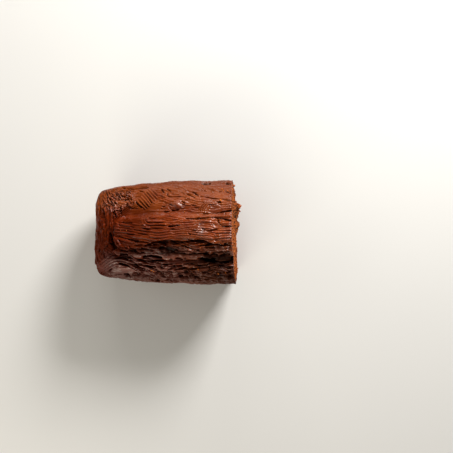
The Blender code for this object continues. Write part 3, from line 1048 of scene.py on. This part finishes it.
def make_lining(grid, relief, walls):
    """The frosting's inner side: as thin as in the frame at the cut and at the rim, where it can be
    seen, and deeper elsewhere, so that no groove reaches it."""
    facing = normals(grid)
    thin = SIDE_FROSTING + (TOP_FROSTING - SIDE_FROSTING) * np.clip(facing[..., 2], 0, 1)
    deep = LINING_MORE * inland(walls) * smoothstep(walls.up_at / RISE_FROM_RIM)
    dent = np.clip(relief, None, 0)
    lining = grid - facing * (thin + deep - dent * (1 - inland(walls)))[..., None]
    slope = lining[1] - lining[0]
    rise = np.maximum(slope[:, 2], 0.5 * np.linalg.norm(slope, axis=-1))
    lining[0] += slope * ((RIM_HEIGHT - lining[0, :, 2]) / rise)[:, None]
    lining[0, :, 2] = RIM_HEIGHT
    return on_cut(lining)


def make_frosting(grid, relief, lining, origin):
    """The coat: the form with its relief, the lining, and the strips that close rim and cut."""
    outer = on_cut(grid + normals(grid) * relief[..., None])
    lining = lining.copy()
    outer[0, :, 2] = lining[0, :, 2] = RIM_UP + layers(grid[0], RIM_WAVES)
    for column in (0, -1):
        outer[:, column, 0] += layers(outer[:, column], CUT_EDGE_WAVES)
    outer[-1] = (outer[-1] + outer[-1, ::-1]) / 2
    rows, columns = relief.shape
    index = np.arange(rows * columns).reshape(rows, columns)
    inner = index + rows * columns
    faces = [
        grid_faces(index, outwards=True),
        grid_faces(inner, outwards=False),
        strip_faces(index[0], inner[0]),
        strip_faces(cut_edge(index)[::-1], cut_edge(inner)[::-1]),
    ]
    points = np.concatenate([outer.reshape(-1, 3), lining.reshape(-1, 3)]) - origin
    made = mesh_object("frosting_coat", points, faces)
    # The coat's hollowness, which its material paints as shade.
    set_values(made, "hollow", np.concatenate([hollowness(relief).ravel(), np.zeros(relief.size)]))
    weld(made, COAT_WELD)
    thin_out = made.modifiers.new("fewer faces", "DECIMATE")
    thin_out.ratio = FROSTING_FACES / (4 * rows * columns)
    thin_out.use_collapse_triangulate = True
    apply_modifiers(made)
    made.data.shade_smooth()
    return made


# ---------------------------------------------------------------- the crumb
# Bulges of the crumb's face, low in the cut: place across and up, radius across and up, how far.
BULGES = (
    ((28.0, 24.0), (7.0, 15.0), 6.2),
    ((19.0, 16.0), (5.0, 10.0), 3.6),
    ((8.0, 20.0), (5.5, 12.0), 5.2),
    ((0.5, 14.0), (4.0, 9.0), 2.6),
    ((44.0, 12.0), (4.0, 6.0), 1.6),
    ((-20.0, 12.0), (9.0, 7.0), 1.2),
    ((-44.0, 14.0), (5.0, 8.0), 1.0),
)
GRAIN_AREA = 1.8  # of the crumb's grains, in square millimetres
GRAIN_REACH = 0.9  # from a grain's middle to where the face is a grain's depth lower
GRAIN_DEPTH = 0.8
# Kinds of pore: how many, smallest and largest radius, and depth as a share of the radius.
PORES = (
    (2200, 0.28, 0.62, 1.2),
    (520, 0.6, 1.1, 1.1),
    (90, 1.1, 1.9, 1.0),
    (6, 2.0, 3.1, 1.0),
)
FACE_WAVES = ((0.35, 6.0, 43), (0.22, 1.3, 44))  # of the whole face: height, size, seed
# How its grains and pores are pushed out of place: how far, size, seeds across and up.
FACE_WARPS = ((0.5, 3.0, (41, 42)), (0.6, 1.2, (47, 48)))
EDGE_FADE = 1.6  # beside the face's edge, where the bulges and the pores are shallower
SKIN_BEYOND_LINING = 0.15  # how far the crumb's skin reaches into the coat
SKIN_SHADE = 1.5  # how dark the crumb's skin under the coat is painted, as a depth below the grains' tops: painted shade where it shows through the coat's grooves
FOOT_SPACING = 0.8  # between the points along the foot of the cut


def pore_raster(low, high, rng):
    """How deep the pores go, on a raster over the cut from its low to its high corner."""
    count = np.ceil((high - low) / PORE_CELL).astype(int) + 1
    depth = np.zeros((count[1], count[0]))
    ys = low[0] + PORE_CELL * np.arange(count[0])
    zs = low[1] + PORE_CELL * np.arange(count[1])
    for number, smallest, largest, share in PORES:
        for _ in range(number):
            y, z = rng.uniform(low, high)
            long = rng.uniform(smallest, largest) * rng.uniform(1.0, 1.5)
            short = rng.uniform(smallest, largest)
            angle = rng.uniform(0, np.pi)
            reach = 1.2 * max(long, short)
            c0, c1 = np.searchsorted(ys, (y - reach, y + reach))
            r0, r1 = np.searchsorted(zs, (z - reach, z + reach))
            along, beside = rotated(ys[None, c0:c1] - y, zs[r0:r1, None] - z, angle)
            bowl = share * short * np.sqrt(np.clip(1 - (along / long) ** 2 - (beside / short) ** 2, 0, 1))
            depth[r0:r1, c0:c1] = np.maximum(depth[r0:r1, c0:c1], bowl)
    return depth


def nearest_of(places, points):
    """For each point of the cut: the number of the nearest of some places, and how far it is."""
    tree = kdtree.KDTree(len(places))
    for number, (y, z) in enumerate(places):
        tree.insert((y, z, 0.0), number)
    tree.balance()
    found = [tree.find((y, z, 0.0))[1:] for y, z in points]
    return np.array([number for number, _ in found]), np.array([away for _, away in found])


def between_grains(points, rng):
    """How deep the face lies at each point, from 0 on top of a grain of the crumb."""
    low, high = points.min(axis=0) - 2.0, points.max(axis=0) + 2.0
    middles = rng.uniform(low, high, (int(np.prod(high - low) / GRAIN_AREA), 2))
    tops = rng.uniform(0.0, 0.35, len(middles))
    numbers, away = nearest_of(middles, points)
    return GRAIN_DEPTH * np.minimum((away / GRAIN_REACH) ** 2, 1.4) + tops[numbers]


def sampled(raster, low, points):
    """Values of the raster at points, between its cells."""
    at = (points - low) / PORE_CELL
    base = np.floor(at).astype(int)
    base = np.clip(base, 0, np.array(raster.shape[::-1]) - 2)
    y, z = (at - base).T
    c, r = base.T
    top = raster[r + 1, c] * (1 - y) + raster[r + 1, c + 1] * y
    bottom = raster[r, c] * (1 - y) + raster[r, c + 1] * y
    return top * z + bottom * (1 - z)


def face_points(edge, rng):
    """Points of the cut's face inside its edge, in rows, each a little out of place."""
    low, high = edge.min(axis=0), edge.max(axis=0)
    across = np.arange(low[0], high[0], FACE_SPACING)
    up = np.arange(low[1] + FACE_SPACING, high[1], FACE_SPACING * ROW_SHARE)
    y, z = np.meshgrid(across, up)
    y = y + (np.arange(len(up)) % 2)[:, None] * FACE_SPACING / 2
    points = np.stack([y.ravel(), z.ravel()], axis=-1)
    points += rng.uniform(-POINT_STRAY, POINT_STRAY, points.shape)
    dense = np.concatenate([np.linspace(a, b, 5)[:-1] for a, b in zip(edge, np.roll(edge, -1, axis=0))])
    return points[nearest_of(dense, points)[1] > 0.6 * FACE_SPACING]


def joined_up(loop, inner):
    """Triangles that fill the loop by way of the inner points, and the inner points they use. Their
    corners are numbers in the loop and then in those points."""
    places = np.concatenate([loop, inner])
    triangles, sources = delaunay_2d_cdt(
        [Vector(place) for place in places], [], [list(range(len(loop)))], 1, TINY
    )[2:4]
    source = np.array([found[0] for found in sources])
    triangles = source[np.array(triangles)]
    used = np.unique(triangles)
    used = used[used >= len(loop)]
    position = np.arange(len(places))
    position[used] = len(loop) + np.arange(len(used))
    return position[triangles], places[used]


def face_hollows(loop, inner, rng):
    """How deep the pores, and the gaps between the grains, are at each inner point of the face."""
    low, high = loop.min(axis=0) - 1.0, loop.max(axis=0) + 1.0
    raster = pore_raster(low, high, rng)
    pushed = inner + sum(
        far * np.stack([noise(inner, size, seed) for seed in seeds], axis=-1)
        for far, size, seeds in FACE_WARPS
    )
    pores = sampled(raster, low, np.clip(pushed, low, high))
    grains = between_grains(pushed, rng) * (0.85 + 0.5 * noise(inner, 2.6, 46))
    return np.maximum(pores, grains + 0.25 * np.abs(noise(inner, 0.8, 49)))


def face_swell(inner):
    """How far the face stands out of the cut's plane at each inner point, before its hollows."""
    out = layers(inner, FACE_WAVES)
    for (y, z), (across, up), far in BULGES:
        swell = np.exp(-(((inner[:, 0] - y) / across) ** 2) - ((inner[:, 1] - z) / up) ** 2)
        out += far * swell * (1 + 0.35 * noise(inner, 4.0, 45))
    return out


def skin_of(lining):
    """The crumb's skin, on fewer of the lining's points: fewest far from the cut."""
    rows, columns = lining.shape[:2]
    by_cut = np.arange(0, 12, 2)
    picked_rows = np.unique(np.append(np.arange(0, rows, 2), rows - 1))
    picked = np.unique(np.concatenate([by_cut, np.arange(16, columns - 12, 8), columns - 1 - by_cut]))
    skin = (lining + normals(lining) * SKIN_BEYOND_LINING)[picked_rows][:, picked]
    skin[0, :, 2] = 0.0
    return on_cut(skin)


def make_sponge(lining, origin):
    """The crumb: its skin under the frosting, its flat base, and its porous face at the cut."""
    rng = np.random.default_rng(CRUMB_SEED)
    skin = skin_of(lining)
    index = np.arange(skin.shape[0] * skin.shape[1]).reshape(skin.shape[:2])
    edge_index = np.concatenate([index[:, 0], index[-2::-1, -1]])
    flat = skin.reshape(-1, 3)
    edge = flat[edge_index][:, 1:]
    foot = np.linspace(edge[-1], edge[0], int((edge[-1, 0] - edge[0, 0]) / FOOT_SPACING))[1:-1]
    loop = np.concatenate([edge, foot])
    triangles, inner = joined_up(loop, face_points(loop, rng))
    depth = face_hollows(loop, inner, rng)
    free = smoothstep(nearest_of(loop, inner)[1] / EDGE_FADE)
    places = np.concatenate([loop, inner])
    x = cut_x(*places.T)
    x[len(loop) :] += free * face_swell(inner) - depth * (0.35 + 0.65 * free)
    face = np.column_stack([x, places])

    # The loop's first points are the skin's own; the rest are new.
    renumber = np.concatenate([edge_index, flat.shape[0] + np.arange(len(places) - len(edge_index))])
    points = np.concatenate([flat, face[len(edge_index) :]]) - origin
    foot_index = flat.shape[0] + np.arange(len(foot))
    base = np.concatenate([index[0], foot_index])[::-1]
    faces = [grid_faces(index, outwards=True), renumber[triangles], base[None, :]]
    made = mesh_object("crumb", points, faces)
    # How dark the crumb is painted at each point: its skin under the coat as painted shade, its edge not,
    # and its face by the depth of its pores and grains, partly its own colour and partly painted shade.
    hollow = np.zeros(len(points))
    hollow[: flat.shape[0]] = SKIN_SHADE
    hollow[edge_index] = 0.0
    hollow[-len(inner) :] = depth
    set_values(made, "hollow", hollow)
    weld(made, CRUMB_WELD)
    apply_modifiers(made)
    fix = bmesh.new()
    fix.from_mesh(made.data)
    bmesh.ops.recalc_face_normals(fix, faces=fix.faces)
    fix.to_mesh(made.data)
    fix.free()
    return made


# ---------------------------------------------------------------- materials
def adder(tree):
    """A way to add a node with its settings, and with inputs given by name or by number, as _0."""

    def add(kind, settings=(), **inputs):
        node = tree.nodes.new(kind)
        for key, value in dict(settings).items():
            setattr(node, key, value)
        for key, value in inputs.items():
            socket = node.inputs[int(key[1:])] if key[0] == "_" else node.inputs[key.replace("_", " ")]
            if isinstance(value, bpy.types.NodeSocket):
                tree.links.new(value, socket)
            else:
                socket.default_value = value
        return node

    return add


def material(name):
    """A new material, with its shader and ways to add nodes and links."""
    made = bpy.data.materials.new(name)
    made.use_nodes = True
    tree = made.node_tree
    return made, tree.nodes["Principled BSDF"], adder(tree), tree.links.new


def ramp(add, factor, stops):
    """A colour ramp from (position, colour) stops."""
    node = add("ShaderNodeValToRGB", Fac=factor)
    while len(node.color_ramp.elements) < len(stops):
        node.color_ramp.elements.new(0.5)
    for element, (position, colour) in zip(node.color_ramp.elements, stops):
        element.position = position
        element.color = (*colour, 1.0)
    return node.outputs["Color"]


# Colours along a ramp: where on it, and red, green and blue.
COAT_COLOURS = (
    (0.1, (0.095, 0.0108, 0.0015)), (0.5, (0.133, 0.0188, 0.0025)), (1.0, (0.205, 0.0410, 0.0062)))
CRUMB_COLOURS = ((0.22, (0.66, 0.176, 0.030)), (0.55, (0.30, 0.071, 0.013)), (1.0, (0.045, 0.012, 0.004)))
FLOOR_COLOURS = ((0.3, (0.72, 0.72, 0.71)), (0.7, (0.74, 0.74, 0.73)))

# Painted shade and painted light on the coat: how much darker it is made by place, as products of
# ranges, which are added up. A range is what it goes by, where it starts and ends in metres, and its
# values there. Below 0 is lighter, as painted light.
MIDDLE = (("along", -0.055, -0.045, 0.0, 1.0), ("along", 0.018, 0.030, 1.0, 0.0))
PAINTED_SHADE_AND_LIGHT = {
    "under the crown's edge": (
        ("shifted", -0.010, -0.014, 0.0, 0.42), ("side", -0.021, -0.026, 1.0, 0.0), *MIDDLE),
    "plates of the near side": (
        ("side", -0.022, -0.028, 0.0, -0.35), ("side", -0.038, -0.044, 1.0, 0.0), *MIDDLE),
    "near foot": (("side", -0.038, -0.046, 0.0, 0.28),),
    "near side by the cut": (("along", 0.012, 0.055, 0.0, 1.0), ("side", -0.012, -0.028, 0.0, 0.36)),
    "far foot": (("side", 0.015, 0.045, 0.0, 0.35), ("height", 0.055, 0.030, 0.0, 1.0)),
    "far edge": (("side", 0.034, 0.044, 0.0, 0.20),),
    "notch": (
        ("side", -0.0235, -0.026, 0.0, 0.75), ("side", -0.031, -0.033, 1.0, 0.0),
        ("along", 0.036, 0.046, 0.0, 1.0)),
    "pit": (("from the pit", 0.003, 0.008, 0.6, 0.0),),
    "far side of the crown": (
        ("side", 0.004, 0.010, 0.0, -0.38), ("side", 0.015, 0.019, 1.0, 0.0),
        ("along", 0.020, 0.040, 1.0, 0.0)),
    "crown by the cut": (
        ("along", 0.042, 0.052, 0.0, -0.4), ("side", -0.013, -0.009, 0.0, 1.0),
        ("side", 0.013, 0.018, 1.0, 0.0)),
}
SMOOTH_SPOT = (-0.025, 0.020, 0.080)  # a smooth place of the crown, round which the coat is made darker, with less sheen
PIT_SPOT = (0.005, -0.0195, 0.074)  # a deep place under the crown's near edge, where shade is painted
SHEEN = 0.05  # of the coat where it is dry
# Places where the coat is wet: place, distances in metres from it where this starts and has faded,
# sheen.
WET_SPOTS = (
    ((-0.048, 0.035, 0.069), 0.008, 0.022, 0.36),
    ((0.014, 0.029, 0.076), 0.003, 0.010, 0.55),
    ((0.039, 0.003, 0.089), 0.003, 0.011, 0.9),
    ((0.051, 0.0055, 0.089), 0.002, 0.008, 0.7),
    ((0.066, -0.003, 0.086), 0.006, 0.016, 0.5),
    ((0.069, 0.029, 0.079), 0.002, 0.010, 0.6),
    ((-0.055, 0.038, 0.067), 0.004, 0.012, 0.4),
    ((0.051, 0.0275, 0.077), 0.009, 0.018, 0.45),
    ((0.058, -0.012, 0.083), 0.004, 0.010, 0.6),
)


def calculators(add):
    """Short ways to add a range node and a calculation, each giving its result's socket."""

    def span(value, start, end, low, high):
        ends = {"From_Min": start, "From_Max": end, "To_Min": low, "To_Max": high}
        return add("ShaderNodeMapRange", Value=value, **ends).outputs["Result"]

    def calc(operation, *values):
        inputs = {f"_{number}": value for number, value in enumerate(values)}
        return add("ShaderNodeMath", {"operation": operation}, **inputs).outputs["Value"]

    return span, calc


def frosting_material():
    """The coat's look: painted shade and light by place and in hollows, and its dry and wet places."""
    made, shader, add, link = material("frosting_coat")
    span, calc = calculators(add)
    place = add("ShaderNodeTexCoord").outputs["Object"]
    apart = add("ShaderNodeSeparateXYZ", Vector=place)
    along, side, height = (apart.outputs[axis] for axis in "XYZ")

    def away_from(spot):
        return add("ShaderNodeVectorMath", {"operation": "DISTANCE"}, _0=place, _1=spot).outputs["Value"]

    def cloudy(scale, detail):
        return add("ShaderNodeTexNoise", Vector=place, Scale=scale, Detail=detail).outputs["Fac"]

    # The crown's near edge lies nearer at the rounded end, and this goes with it.
    shifted = calc("ADD", side, span(along, -0.043, 0.0, 0.0095, 0.0))
    ways = {"along": along, "side": side, "height": height, "shifted": shifted}
    ways["from the pit"] = away_from(PIT_SPOT)
    # Painted shade and painted light by place, from the table above.
    parts = [
        reduce(lambda a, b: calc("MULTIPLY", a, b), [span(ways[way], *numbers) for way, *numbers in ranges])
        for ranges in PAINTED_SHADE_AND_LIGHT.values()
    ]
    darker = reduce(lambda a, b: calc("ADD", a, b), parts)
    tone = calc("MAXIMUM", calc("SUBTRACT", 1.0, darker), 0.1)
    tone = calc("MULTIPLY", tone, span(away_from(SMOOTH_SPOT), 0.007, 0.026, 0.64, 1.0))
    # Painted shade in the coat's hollows, with the painted shade and light by place, dims its colour and
    # its sheen.
    hollow = add("ShaderNodeAttribute", {"attribute_name": "hollow"}).outputs["Fac"]
    painted_shade_share = calc("MULTIPLY", span(hollow, 0.1, 1.0, 1.0, 0.12), tone)
    # Painted light and shade: the coat is lighter towards the cut and on the far side, darker towards the
    # rounded end.
    drift = calc("MAXIMUM", span(along, -0.055, 0.045, -0.35, 0.3), span(side, 0.016, 0.030, -0.35, 0.40))
    colour = ramp(add, calc("ADD", cloudy(70.0, 3.0), drift), COAT_COLOURS)
    shaded = add("ShaderNodeVectorMath", {"operation": "SCALE"}, _0=colour, Scale=painted_shade_share)
    link(shaded.outputs["Vector"], shader.inputs["Base Color"])
    matt = span(side, -0.012, -0.024, 0.0, 0.16)
    link(calc("ADD", span(cloudy(210.0, 2.0), 0.3, 0.7, 0.20, 0.34), matt), shader.inputs["Roughness"])
    bump = add("ShaderNodeBump", Strength=0.12, Distance=0.0003, Height=cloudy(900.0, 3.0))
    link(bump.outputs["Normal"], shader.inputs["Normal"])
    near_sheen = span(shifted, -0.009, -0.020, SHEEN, 0.52)
    near_sheen = calc("MINIMUM", near_sheen, span(along, -0.070, -0.054, 0.08, 0.52))
    sheen = calc("MAXIMUM", near_sheen, span(along, -0.04, 0.05, SHEEN, 0.25))
    for spot, inside, outside, level in WET_SPOTS:
        sheen = calc("MAXIMUM", sheen, span(away_from(spot), inside, outside, level, SHEEN))
    # The sheen is dimmed by the same painted shade.
    link(calc("MULTIPLY", sheen, painted_shade_share), shader.inputs["Specular IOR Level"])
    return made


def crumb_material():
    """The crumb's look, darker the deeper it lies: partly its own colour and partly painted shade."""
    made, shader, add, link = material("crumb")
    span, calc = calculators(add)
    place = add("ShaderNodeTexCoord").outputs["Object"]
    hollow = add("ShaderNodeAttribute", {"attribute_name": "hollow"}).outputs["Fac"]
    grain = add("ShaderNodeTexNoise", Vector=place, Scale=520.0, Detail=3.0).outputs["Fac"]
    depth = calc("MULTIPLY_ADD", grain, 0.5, span(hollow, 0.0, 1.1, 0.0, 1.0))
    link(ramp(add, depth, CRUMB_COLOURS), shader.inputs["Base Color"])
    fine = add("ShaderNodeTexNoise", Vector=place, Scale=1500.0, Detail=2.0).outputs["Fac"]
    bump = add("ShaderNodeBump", Strength=0.5, Distance=0.0003, Height=fine)
    link(bump.outputs["Normal"], shader.inputs["Normal"])
    shader.inputs["Roughness"].default_value = 0.85
    shader.inputs["Specular IOR Level"].default_value = 0.15
    return made


# ---------------------------------------------------------------- crumbs
def lump_template():
    """Points and faces of a small round lump."""
    mesh = bmesh.new()
    bmesh.ops.create_icosphere(mesh, subdivisions=2, radius=1.0)
    points = np.array([vertex.co for vertex in mesh.verts])
    faces = np.array([[vertex.index for vertex in face.verts] for face in mesh.faces])
    mesh.free()
    return points, faces


# Crumbs that hang on the cut: across, up, out of the cut's plane, radius.
HANGING_CRUMBS = (
    (29.0, 30.0, 7.0, 1.7),
    (27.2, 31.5, 6.0, 1.3),
    (30.6, 28.0, 5.8, 1.2),
    (52.0, 26.0, 0.6, 1.1),
)
CLINGING_CRUMBS, CLINGING_RADII = 150, (0.35, 0.95)
# Crumbs are as dark as a point of the face that lies this far below the grains' tops.
CRUMB_TONE, STUCK_CRUMB_TONE = 0.3, 0.08

# Crumbs stuck on the coat: pixel across and down, radius.
STUCK_CRUMBS = (
    (221.8, 189.5, 0.75),
    (223.3, 190.9, 0.6),
    (227.2, 190.7, 0.8),
    (229.0, 191.6, 0.6),
    (220.4, 200.7, 1.0),
    (184.6, 212.2, 0.5),
    (126.4, 230.5, 0.55),
    (120.4, 230.1, 0.4),
    (198.0, 269.4, 0.7),
    (218.2, 273.6, 0.8),
    (225.4, 272.8, 0.7),
    (200.6, 247.9, 0.5),
    (151.6, 270.0, 0.9),
    (153.8, 271.2, 0.8),
)


def make_crumbs(crumb, coat, origin):
    """Small crumbs that cling to the cut or hang on its edge, and a few that are stuck on the coat."""
    rng = np.random.default_rng(CRUMBS_SEED)
    template, template_faces = lump_template()
    points, faces, tones = [], [], []

    def add_lump(centre, radius, tone=CRUMB_TONE):
        shape = template * rng.uniform(0.75, 1.2, 3) * radius
        shape = shape * (1 + 0.42 * noise(template + rng.uniform(0, 50, 3), 0.8, 61))[:, None]
        faces.append(template_faces + len(points) * len(template))
        points.append(shape + centre)
        tones.append(np.full(len(template), tone))

    places = np.array([vertex.co for vertex in crumb.data.vertices]) / MM + origin
    plane = cut_x(places[:, 1], places[:, 2])
    on_face = np.nonzero(places[:, 0] > plane - 0.5)[0]
    for number in rng.choice(on_face, CLINGING_CRUMBS, replace=False):
        y, z = places[number, 1:]
        radius = rng.uniform(*CLINGING_RADII)
        if z > radius:
            add_lump(places[number] + (0.35 * radius, 0, 0), radius)
    for y, z, out, radius in HANGING_CRUMBS:
        add_lump(np.array((cut_x(y, z) + out, y, z)), radius)
    for across, down, radius in STUCK_CRUMBS:
        ray = Vector((across - PICTURE / 2, PICTURE / 2 - down, -FOCAL)).normalized()
        found, place, facing, _ = coat.ray_cast(Vector(CAMERA) * MM, ray)
        if found:
            centre = np.array(place) / MM + origin + 0.4 * radius * np.array(facing)
            add_lump(centre, radius, STUCK_CRUMB_TONE)
    made = mesh_object("clinging_crumbs", np.concatenate(points) - origin, [np.concatenate(faces)])
    set_values(made, "hollow", np.concatenate(tones))
    return made


# ---------------------------------------------------------------- building
def build():
    origin = frame_origin()
    level = fine_levels()
    angles = fine_angles()
    widest_z = LEVELS[WIDEST][NEAR][UP]
    straight = int((cut_x(RIDGE_Y, widest_z) + LENGTH / 2 - END_REACH) / COLUMN_SPACING)
    shares = np.linspace(0, 1, straight, endpoint=False)
    grid = uneven(loaf_grid(level, shares, angles))
    walls = walls_of(grid - origin, level, (straight, straight + len(angles)))
    relief = make_relief(grid - origin, walls)
    lining = make_lining(grid, relief, walls)
    frosting = make_frosting(grid, relief, lining, origin)
    frosting.data.materials.append(frosting_material())
    crumb = make_sponge(lining, origin)
    crumb_look = crumb_material()
    crumb.data.materials.append(crumb_look)
    bpy.context.view_layer.update()
    crumbs = make_crumbs(crumb, frosting, origin)
    crumbs.data.materials.append(crumb_look)
    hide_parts("frosting")
    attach(frosting, "root")
    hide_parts("sponge")
    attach(crumb, "root")
    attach(crumbs, "root")
    for piece in (frosting, crumb, crumbs):
        print(piece.name, len(piece.data.polygons), "faces")


# Area lights, aimed at the cake: place, width and height in metres, power, colour.
LIGHTS = {
    "key": ((0.60, 0.98, 0.56), (0.5, 0.26), 26.5, (1.0, 0.97, 0.93)),
    "glints": ((-0.15, 1.05, 0.40), (0.5, 0.10), 3.2, (1.0, 0.95, 0.88)),
    "fill": ((-0.60, -1.20, 0.50), (1.1, 0.16), 12.5, (1.0, 0.92, 0.76)),
    "high fill": ((-0.30, -0.80, 1.10), (1.2, 0.10), 0.7, (1.0, 0.97, 0.91)),
    "end fill": ((-1.10, 0.20, 0.62), (0.8, 0.14), 1.5, (1.0, 0.97, 0.92)),
}
LIT_SPOT = (0.0, 0.0, 0.05)
SKY_AT_HORIZON, SKY_OVERHEAD, SKY_COLOUR = 0.15, 0.13, (1.0, 0.98, 0.94, 1.0)
FLOOR_SIZE = 4000.0
FLOOR_SQUARES = 8


def light(name, place, size, power, colour):
    """Adds an area light that is aimed at the cake."""
    lamp = bpy.data.lights.new(name, "AREA")
    lamp.shape = "RECTANGLE"
    lamp.size, lamp.size_y = size
    lamp.energy = power
    lamp.color = colour
    made = bpy.data.objects.new(name, lamp)
    bpy.context.scene.collection.objects.link(made)
    made.location = Vector(place)
    made.rotation_euler = (Vector(LIT_SPOT) - Vector(place)).to_track_quat("-Z", "Y").to_euler()


def set_stage():
    """Floor, lights, world and camera."""
    steps = np.linspace(-FLOOR_SIZE / 2, FLOOR_SIZE / 2, FLOOR_SQUARES + 1)
    y, x = np.meshgrid(steps, steps, indexing="ij")
    points = np.stack([x.ravel(), y.ravel(), np.zeros(x.size)], axis=-1)
    floor = mesh_object("floor", points, [grid_faces(np.arange(x.size).reshape(x.shape), outwards=False)])
    look, shader, add, link = material("floor")
    place = add("ShaderNodeTexCoord").outputs["Object"]
    cloud = add("ShaderNodeTexNoise", Vector=place, Scale=3.0, Detail=2.0).outputs["Fac"]
    link(ramp(add, cloud, FLOOR_COLOURS), shader.inputs["Base Color"])
    shader.inputs["Roughness"].default_value = 0.8
    floor.data.materials.append(look)

    for name, details in LIGHTS.items():
        light(name, *details)

    world = bpy.data.worlds.new("studio")
    world.use_nodes = True
    tree = world.node_tree
    add = adder(tree)
    span, _ = calculators(add)
    direction = add("ShaderNodeTexCoord").outputs["Generated"]
    up = add("ShaderNodeSeparateXYZ", Vector=direction).outputs["Z"]
    background = tree.nodes["Background"]
    tree.links.new(span(up, 0.0, 0.9, SKY_AT_HORIZON, SKY_OVERHEAD), background.inputs["Strength"])
    background.inputs["Color"].default_value = SKY_COLOUR
    bpy.context.scene.world = world
    bpy.context.scene.view_settings.view_transform = "Standard"

    lens = bpy.data.cameras.new("camera")
    lens.lens = LENS
    lens.sensor_width = SENSOR
    camera = bpy.data.objects.new("camera", lens)
    bpy.context.scene.collection.objects.link(camera)
    camera.location = Vector(CAMERA) * MM
    bpy.context.scene.camera = camera


build()
set_stage()
